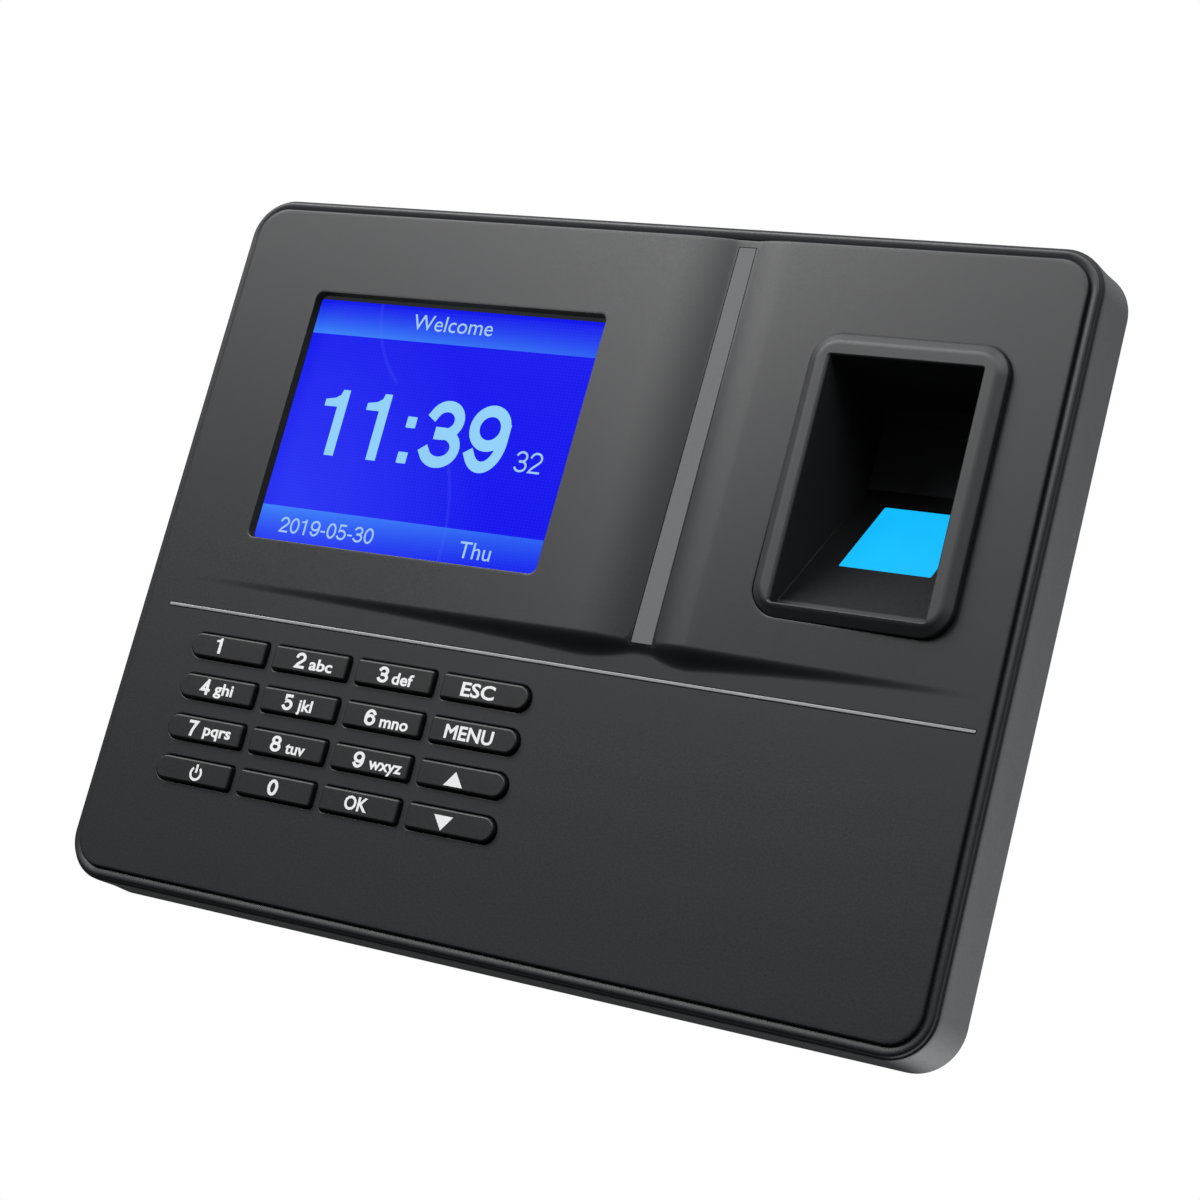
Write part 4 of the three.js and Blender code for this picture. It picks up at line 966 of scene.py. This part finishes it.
def drawn(letter, stroke, bold):
    """A digit, sign or letter with capitals 1 high: its points and faces, and how far the pen moves on."""
    if letter in DIGITS:
        solids = []
        for order, (path, closed) in enumerate(DIGITS[letter]):
            left, span_x = DIGIT_LEFT + stroke / 2, DIGIT_WIDTH - stroke
            path = [(left + x * span_x, stroke / 2 + z * (1 - stroke)) for x, z in path]
            points, faces = stroke_solid(path, stroke, closed)
            # Where strokes cross, each later one lies a little lower.
            level = 1 - STROKE_STEP * order
            solids.append(([(x, z, d * level) for x, z, d in points], faces))
        return *merged(solids), DIGIT_ADVANCE
    if letter == "1":
        right = 0.45
        left = right - stroke
        outline = [
            (left, 0.0), (right, 0.0), (right, 1.0), (right - stroke * 0.75, 1.0),
            (right - stroke * 0.9, 0.92), (left - 0.06, 0.87), (0.05, 0.84),
            (0.05, 0.84 - stroke * 0.62), (left, 0.84 - stroke * 0.62),
        ]
        return *loop_solid(outline), DIGIT_ADVANCE
    if letter == ":":
        squares = [rounded(0.06, 0.06 + stroke, z, z + stroke, 0.01, steps=1) for z in (0.01, 0.54)]
        return *merged([loop_solid(square) for square in squares]), 0.37
    if letter == "-":
        return *loop_solid([(0.06, 0.32), (0.40, 0.32), (0.40, 0.43), (0.06, 0.43)]), 0.46
    points, faces = letter_solid(letter, bold)
    plain = max(x for x, _, _ in letter_solid("H", 0.0)[0])
    step = max(x for x, _, _ in letter_solid(letter + "H", 0.0)[0]) - plain
    return [(x / CAP_HEIGHT, z / CAP_HEIGHT, d) for x, z, d in points], faces, step / CAP_HEIGHT


def word(text, height, width=None, stroke=0.13, bold=0.0):
    """A word with its left end and baseline at zero, fitted to a width in millimetres where one is given."""
    points = []
    faces = []
    pen = 0.0
    for letter in text:
        glyph, glyph_faces, step = drawn(letter, stroke, bold)
        first = len(points)
        points += [((pen + x) * height, z * height, d) for x, z, d in glyph]
        faces += [tuple(first + i for i in face) for face in glyph_faces]
        pen += step
    left = min(x for x, _, _ in points)
    stretch = width / (max(x for x, _, _ in points) - left) if width else 1.0
    return [((x - left) * stretch, z, d) for x, z, d in points], faces


def ink(name, runs, y, finish, body="casing", thickness=0.03):
    """A raised film of ink or light: runs of points and faces, each set down at an x and z."""
    shape = Shape()
    for points, faces, x, z in runs:
        shape.add([(px + x, y - d * thickness, pz + z) for px, pz, d in points], faces)
    mesh = mended(shape.mesh(name), apart=1e-7)
    mesh.materials.append(finish)
    thing = linked(name, mesh)
    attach(thing, body)
    return thing


def middle(points):
    """The middle of the points' extent in x and z."""
    xs = [p[0] for p in points]
    zs = [p[1] for p in points]
    return (min(xs) + max(xs)) / 2, (min(zs) + max(zs)) / 2


# ---------------------------------------------------------------- keys

# Digits: the text, its middle in x, the letters beside it, their left end, their width and their rise.
LEGENDS = {
    "key_1": ("1", -67.9), "key_2": ("2", -48.3, "abc", -46.0, 5.3, 0.0),
    "key_3": ("3", -29.15, "def", -27.0, 4.7, 0.0),
    "key_4": ("4", -68.3, "ghi", -66.0, 4.45, 0.35), "key_5": ("5", -48.45, "jkl", -46.1, 3.4, 0.2),
    "key_6": ("6", -29.35, "mno", -27.05, 6.3, 0.0), "key_7": ("7", -68.3, "pqrs", -65.75, 6.5, 0.5),
    "key_8": ("8", -48.45, "tuv", -46.1, 4.5, 0.0), "key_9": ("9", -29.35, "wxyz", -27.0, 7.4, 0.15),
    "key_0": ("0", -46.4),
}
# Words: the text, where its middle is in x, and its width.
WORDS = {"key_esc": ("ESC", -8.05, 7.25), "key_menu": ("MENU", -7.55, 10.4), "key_ok": ("OK", -27.3, 5.2)}
SIGNS = {"key_power": -64.7, "key_up": -8.05, "key_down": -8.2}
# How far the middle of each legend stands above the middle of its key.
LEGEND_RISE = {
    "key_1": 0.58, "key_2": 0.4, "key_3": 0.38, "key_4": 0.45, "key_5": 0.3, "key_6": 0.25, "key_7": 0.33,
    "key_8": 0.35, "key_9": 0.3, "key_0": 0.31, "key_esc": 0.19, "key_menu": 0.22, "key_ok": 0.33,
    "key_up": -0.05, "key_down": 0.03, "key_power": 0.07,
}
DIGIT_HEIGHT = 3.05
PRINT_LEFT = 0.25                       # the print sits a little left of the middle of each cap


def legend_runs(name):
    """What is printed on a key: runs of points and faces with the place of each."""
    _, _, _, _, z0, z1 = span(name)
    z = (z0 + z1) / 2 + LEGEND_RISE[name]
    if name in LEGENDS:
        digit, x, *letters = LEGENDS[name]
        points, faces = word(digit, DIGIT_HEIGHT, stroke=0.185)
        points = [(px * 1.16, pz, d) for px, pz, d in points]
        x -= PRINT_LEFT
        runs = [(points, faces, x - middle(points)[0], z - DIGIT_HEIGHT / 2)]
        if letters:
            text, left, width, up = letters
            foot = z - DIGIT_HEIGHT / 2 + up + 0.1
            runs.append((*word(text, 2.1, width, bold=0.026), left - PRINT_LEFT, foot))
        return runs
    if name in WORDS:
        text, x, width = WORDS[name]
        points, faces = word(text, 2.45, width, bold=0.024)
        return [(points, faces, x - PRINT_LEFT - width / 2, z - 1.2)]
    x = SIGNS[name] - PRINT_LEFT
    if name == "key_power":
        outer, inner = [arc(0, 0, radius, radius, 128, 412, 28) for radius in (1.44, 0.96)]
        bar = [(-0.24, 0.1), (0.24, 0.1), (0.24, 1.75), (-0.24, 1.75)]
        return [(*loop_solid(outer + inner[::-1]), x, z), (*loop_solid(bar), x, z)]
    side = 1 if name == "key_up" else -1
    triangle = [(-2.05 * side, -1.3 * side), (2.05 * side, -1.3 * side), (0.0, 1.4 * side)]
    return [(*loop_solid(triangle), x, z)]


def build_key(name):
    """A key cap with a rounded rim, the flange that keeps it behind the panel, and its plunger."""
    body = name + "_body"
    x0, x1, _, y1, z0, z1 = span(name)
    rim = 0.4
    rings = [ring(key_outline(name), PANEL_BACK_Y + GAP), ring(key_outline(name), KEY_TOP_Y + rim)]
    for turn in (0.3, 0.6, 0.85, 1.0):
        angle = turn * math.pi / 2
        loop = key_outline(name, -rim * (1 - math.cos(angle)))
        rings.append(ring(loop, KEY_TOP_Y + rim * (1 - math.sin(angle))))
    flange = [ring(key_outline(name, 0.5, 0.8), y) for y in (y1 - 1.2, PANEL_BACK_Y + GAP)]
    shape = Shape().bands(flange + rings).lid(flange[0]).lid(rings[-1])
    centre = ((x0 + x1) / 2, (z0 + z1) / 2)
    plunger = rod(centre, 2.0, y1 - 1.3, y1, 20)
    shape.add(plunger.points, plunger.faces)
    piece(name + "_cap", shape, KEYS, body, [name], crease=34)
    ink(name + "_legend", legend_runs(name), KEY_TOP_Y + 0.01, INK, body)


for key_name in sum(KEY_ROWS, []):
    build_key(key_name)

# ---------------------------------------------------------------- what the display shows

SHOWN_BRIGHT = lit_glass("lit_display_figures", "#86c8f4", "#93d2fa", "#04080c", 1.0)
SHOWN_PALE = lit_glass("lit_display_small_text", "#9cc4f4", "#a8d0fa", "#04080c", 0.95)


def show(name, text, height, width, x, z, finish, stroke=0.12, bold=0.0):
    """A word on the display, its left end and baseline measured from the window's lower left corner."""
    points, faces = word(text, height, width, stroke, bold)
    run = (points, faces, WINDOW[0] + x, WINDOW[2] + z)
    ink(name, [run], GLASS_Y - 0.01, finish, thickness=0.02)


show("display_title", "Welcome", 3.1, 18.5, 22.8, 45.2, SHOWN_PALE)
show("display_time", "11:39", 13.35, 43.7, 7.55, 18.4, SHOWN_BRIGHT, stroke=0.168)
show("display_seconds", "32", 4.1, 5.95, 53.95, 19.5, SHOWN_PALE, stroke=0.1)
show("display_date", "2019-05-30", 3.1, 22.3, 5.1, 2.15, SHOWN_PALE, stroke=0.125)
show("display_day", "Thu", 3.15, 7.1, 47.1, 2.0, SHOWN_PALE)

# ---------------------------------------------------------------- rear cover, bracket, sockets and screws


def eased_copy(name, node, finish, width):
    """A CAD piece with its edges rounded, shown in its place."""
    mesh = frame["nodes"][node].data.copy()
    return placed(name, eased(mesh, width), finish, replaces=[node], crease=34)


eased_copy("rear_cover_tray", "rear_cover", REAR, 0.25)
eased_copy("bracket_plate", "wall_bracket", BRACKET, 0.22)
eased_copy("usb_socket_shell", "usb_port", SOCKET, 0.1)
eased_copy("power_socket_body", "power_jack", BLACK_RESIN, 0.12)

USB_X0, USB_X1, USB_Y0, USB_Y1, USB_Z0, USB_Z1 = span("usb_port")
tongue_loop = rounded(USB_Y0 + 3.2, USB_Y1 - 0.75, USB_Z0 + 1.1, USB_Z1 - 1.1, 0.2, steps=3)
tongue_steps = [
    (USB_X0 + 1.2, grown(tongue_loop, -0.15)), (USB_X0 + 1.4, tongue_loop), (USB_X1 - 2.2, tongue_loop),
]
tongue = Shape().solid([[(x, y, z) for y, z in loop] for x, loop in tongue_steps])
piece("usb_tongue", tongue, WHITE_PLASTIC)

USB_CONTACT_PITCH = 2.3
for number in range(4):
    y, z = USB_Y0 + 3.2, (USB_Z0 + USB_Z1) / 2 + (number - 1.5) * USB_CONTACT_PITCH
    contact_loop = rounded(y - 0.09, y + 0.05, z - 0.5, z + 0.5, 0.04, steps=2)
    contact = Shape().solid([[(x, b, c) for b, c in contact_loop] for x in (USB_X0 + 1.8, USB_X0 + 9.5)])
    piece("usb_contact_%d" % (number + 1), contact, SOCKET)


def about(seat, axis, u, v, along):
    """A point beside a seat: u and v across the axis, and a distance along it."""
    x, y, z = seat
    return (x + u, y + along, z + v) if axis == "y" else (x + u, y + v, z + along)


def turned(profile, sides, axis, seat, facing=1.0):
    """A turned body: profile gives radius and distance along the axis."""
    return Shape().solid([
        [about(seat, axis, u, v, along * facing) for u, v in oval(0, 0, radius, radius, sides)]
        for radius, along in profile
    ])


JACK_X0, JACK_X1, _, _, JACK_Z0, _ = span("power_jack")
pin_profile = [(1.05, 0.0), (1.05, 8.2), (0.95, 8.8), (0.6, 9.2), (0.2, 9.3)]
pin = turned(pin_profile, 24, "z", ((JACK_X0 + JACK_X1) / 2, -10.0, JACK_Z0 + 3.0))
piece("power_socket_pin", pin, SOCKET)


def build_screw(name, node, radius, height, axis, facing):
    """A pan-head screw with a pressed cross recess, its head towards facing along its axis."""
    box = span(node)
    seat = [(box[0] + box[1]) / 2, (box[2] + box[3]) / 2, (box[4] + box[5]) / 2]
    at = "xyz".index(axis)
    low, high = box[2 * at], box[2 * at + 1]
    seat[at] = high - height if facing > 0 else low + height
    shank = high - low - height
    profile = [(0.35, -shank), (0.98, -shank + 0.9)]
    pitch = 0.7
    for i in range(int((shank - 1.4) / pitch)):
        root = -shank + 0.95 + i * pitch
        profile += [(0.78, root), (1.0, root + pitch * 0.45)]
    profile += [(0.9, -0.3), (0.95, 0.0), (radius - 0.1, 0.0), (radius, 0.12), (radius, height * 0.45)]
    for k in range(1, 7):
        angle = k / 6 * math.pi / 2
        profile.append((radius * (0.25 + 0.75 * math.cos(angle)), height * (0.45 + 0.55 * math.sin(angle))))
    wide, thin = radius * 0.56, radius * 0.13
    recesses = []
    for long_x in (True, False):
        rings = []
        for along, scale in ((height * 0.35, 0.55), (height * 1.2, 1.0)):
            a, b = (wide * scale, thin) if long_x else (thin, wide * scale)
            corners = [(-a, -b), (a, -b), (a, b), (-a, b)]
            rings.append([about(seat, axis, u, v, along * facing) for u, v in corners])
        recesses.append(Shape().solid(rings))
    mesh = carved(turned(profile, 32, axis, seat, facing), cuts=recesses)
    placed(name, mesh, ZINC, replaces=[node], crease=34)


for number in range(1, 5):
    build_screw("corner_screw_%d" % number, "rear_screw_%d" % number, 2.8, 2.0, "y", 1.0)
build_screw("lock_screw", "bracket_screw", 2.6, 1.6, "z", -1.0)

# ---------------------------------------------------------------- pieces carried over from the frame

SLOT_FINISH = {
    "casing": CASING, "pocket": BLACK_SATIN_AND_SHADE, "keys": KEYS, "stripe": STRIPE, "silver": SILVER,
    "sensor_glass": SENSOR, "display": DISPLAY, "black_resin": BLACK_RESIN, "clear_lens": LENS,
    "white_plastic": WHITE_PLASTIC, "circuit_board": BOARD, "ribbon": RIBBON, "silicone": SILICONE,
    "zinc": ZINC, "bracket_steel": BRACKET,
}
for part in frame["record"]["subparts"]:
    node = frame["nodes"].get(part["node"])
    if node is not None and not node.hide_render:
        node.data.materials.clear()
        node.data.materials.append(SLOT_FINISH[part["material_slot"]])

# ---------------------------------------------------------------- studio

centre = (cad_low + cad_high) / 2
scene = bpy.context.scene
scene.view_settings.view_transform = "Standard"

FLOOR_Z = -450.0
floor_rings = [
    [(x, y, FLOOR_Z) for x, y in oval(0.0, centre.y / MM, radius, radius, 64)] for radius in (300, 3000)
]
floor_mesh = Shape().bands(floor_rings).lid(floor_rings[0]).mesh("studio_floor")
# The paper glows a little, so that it stays pale far from the lamps.
floor_mesh.materials.append(thin_film("matt_white_paper", "#efefef", "#f4f4f4", 0.9, 0.45))
studio_floor = linked("studio_floor", floor_mesh)
studio_floor.visible_diffuse = False
studio_floor.visible_glossy = False


def softbox(name, direction, distance, width, height, radiance):
    """A rectangular diffused lamp that faces the terminal; radiance is how bright its face looks."""
    lamp = bpy.data.lights.new(name, "AREA")
    lamp.shape = "RECTANGLE"
    lamp.size = width
    lamp.size_y = height
    lamp.energy = radiance * math.pi * width * height
    holder = linked(name, lamp)
    way = Vector(direction).normalized()
    holder.location = centre + way * distance
    holder.rotation_euler = way.to_track_quat("Z", "Y").to_euler()


softbox("upper_left_softbox", (-0.51, -0.585, 0.62), 1.3, 0.9, 0.8, 7.0)
softbox("top_front_softbox", (0.30, -0.65, 0.70), 1.4, 0.8, 0.8, 4.0)

world = bpy.data.worlds.new("studio")
scene.world = world
world.use_nodes = True
sky = world.node_tree
sky.nodes.clear()
way = add_node(sky, "TexCoord")
way_x, way_y, way_z = add_node(sky, "SeparateXYZ", None, {"Vector": way.outputs["Generated"]}).outputs
front = add_node(
    sky, "MapRange", {"From Min": -0.3, "From Max": 0.7, "To Min": 0.05, "To Max": 0.35},
    {"Value": way_z},
)
behind = add_node(
    sky, "MapRange", {"interpolation_type": "SMOOTHSTEP", "From Min": 0.0, "From Max": 0.6},
    {"Value": way_y},
)
low = add_node(
    sky, "MapRange", {"From Min": -0.5, "From Max": 0.35, "To Min": 2.3, "To Max": 0.42},
    {"Value": way_z},
)
across = add_node(
    sky, "MapRange",
    {"interpolation_type": "SMOOTHSTEP", "From Min": -0.38, "From Max": 0.14, "To Min": 0.02},
    {"Value": way_x},
)
behind_right = add_node(sky, "Math", {"operation": "MULTIPLY"}, {0: behind, 1: across})
strength = add_node(sky, "Math", {"operation": "MULTIPLY_ADD"}, {0: behind_right, 1: low, 2: front})
surround = add_node(sky, "Background", {"Color": (0.95, 0.975, 1.0, 1.0)}, {"Strength": strength})
paper = add_node(sky, "Background", {"Color": linear("#ffffff"), "Strength": 1.0})
seen = add_node(sky, "LightPath")
chosen = add_node(sky, "MixShader", None, {0: seen, 1: surround, 2: paper})
add_node(sky, "OutputWorld", None, {"Surface": chosen})

# The camera looks up at the terminal from its lower right, tipped a little on its side.
CAMERA_FROM_CENTRE = Vector((0.27218, -0.43343, -0.09397))
CAMERA_AIM_FROM_CENTRE = Vector((0.00574, -0.01385, 0.01558))
CAMERA_ROLL = math.radians(-14.783)
lens = bpy.data.cameras.new("studio_camera")
lens.sensor_width = 36.0
lens.lens = 85.18
lens.shift_y = -0.0833
lens.clip_start = 0.01
lens.clip_end = 50.0
camera = linked("studio_camera", lens)
look = (CAMERA_AIM_FROM_CENTRE - CAMERA_FROM_CENTRE).normalized()
level_right = look.cross(Vector((0, 0, 1))).normalized()
level_up = level_right.cross(look)
tipped_up = level_up * math.cos(CAMERA_ROLL) + level_right * math.sin(CAMERA_ROLL)
tipped_right = look.cross(tipped_up)
turn = Matrix((tipped_right, tipped_up, -look)).transposed().to_4x4()
camera.matrix_world = Matrix.Translation(centre + CAMERA_FROM_CENTRE) @ turn
scene.camera = camera
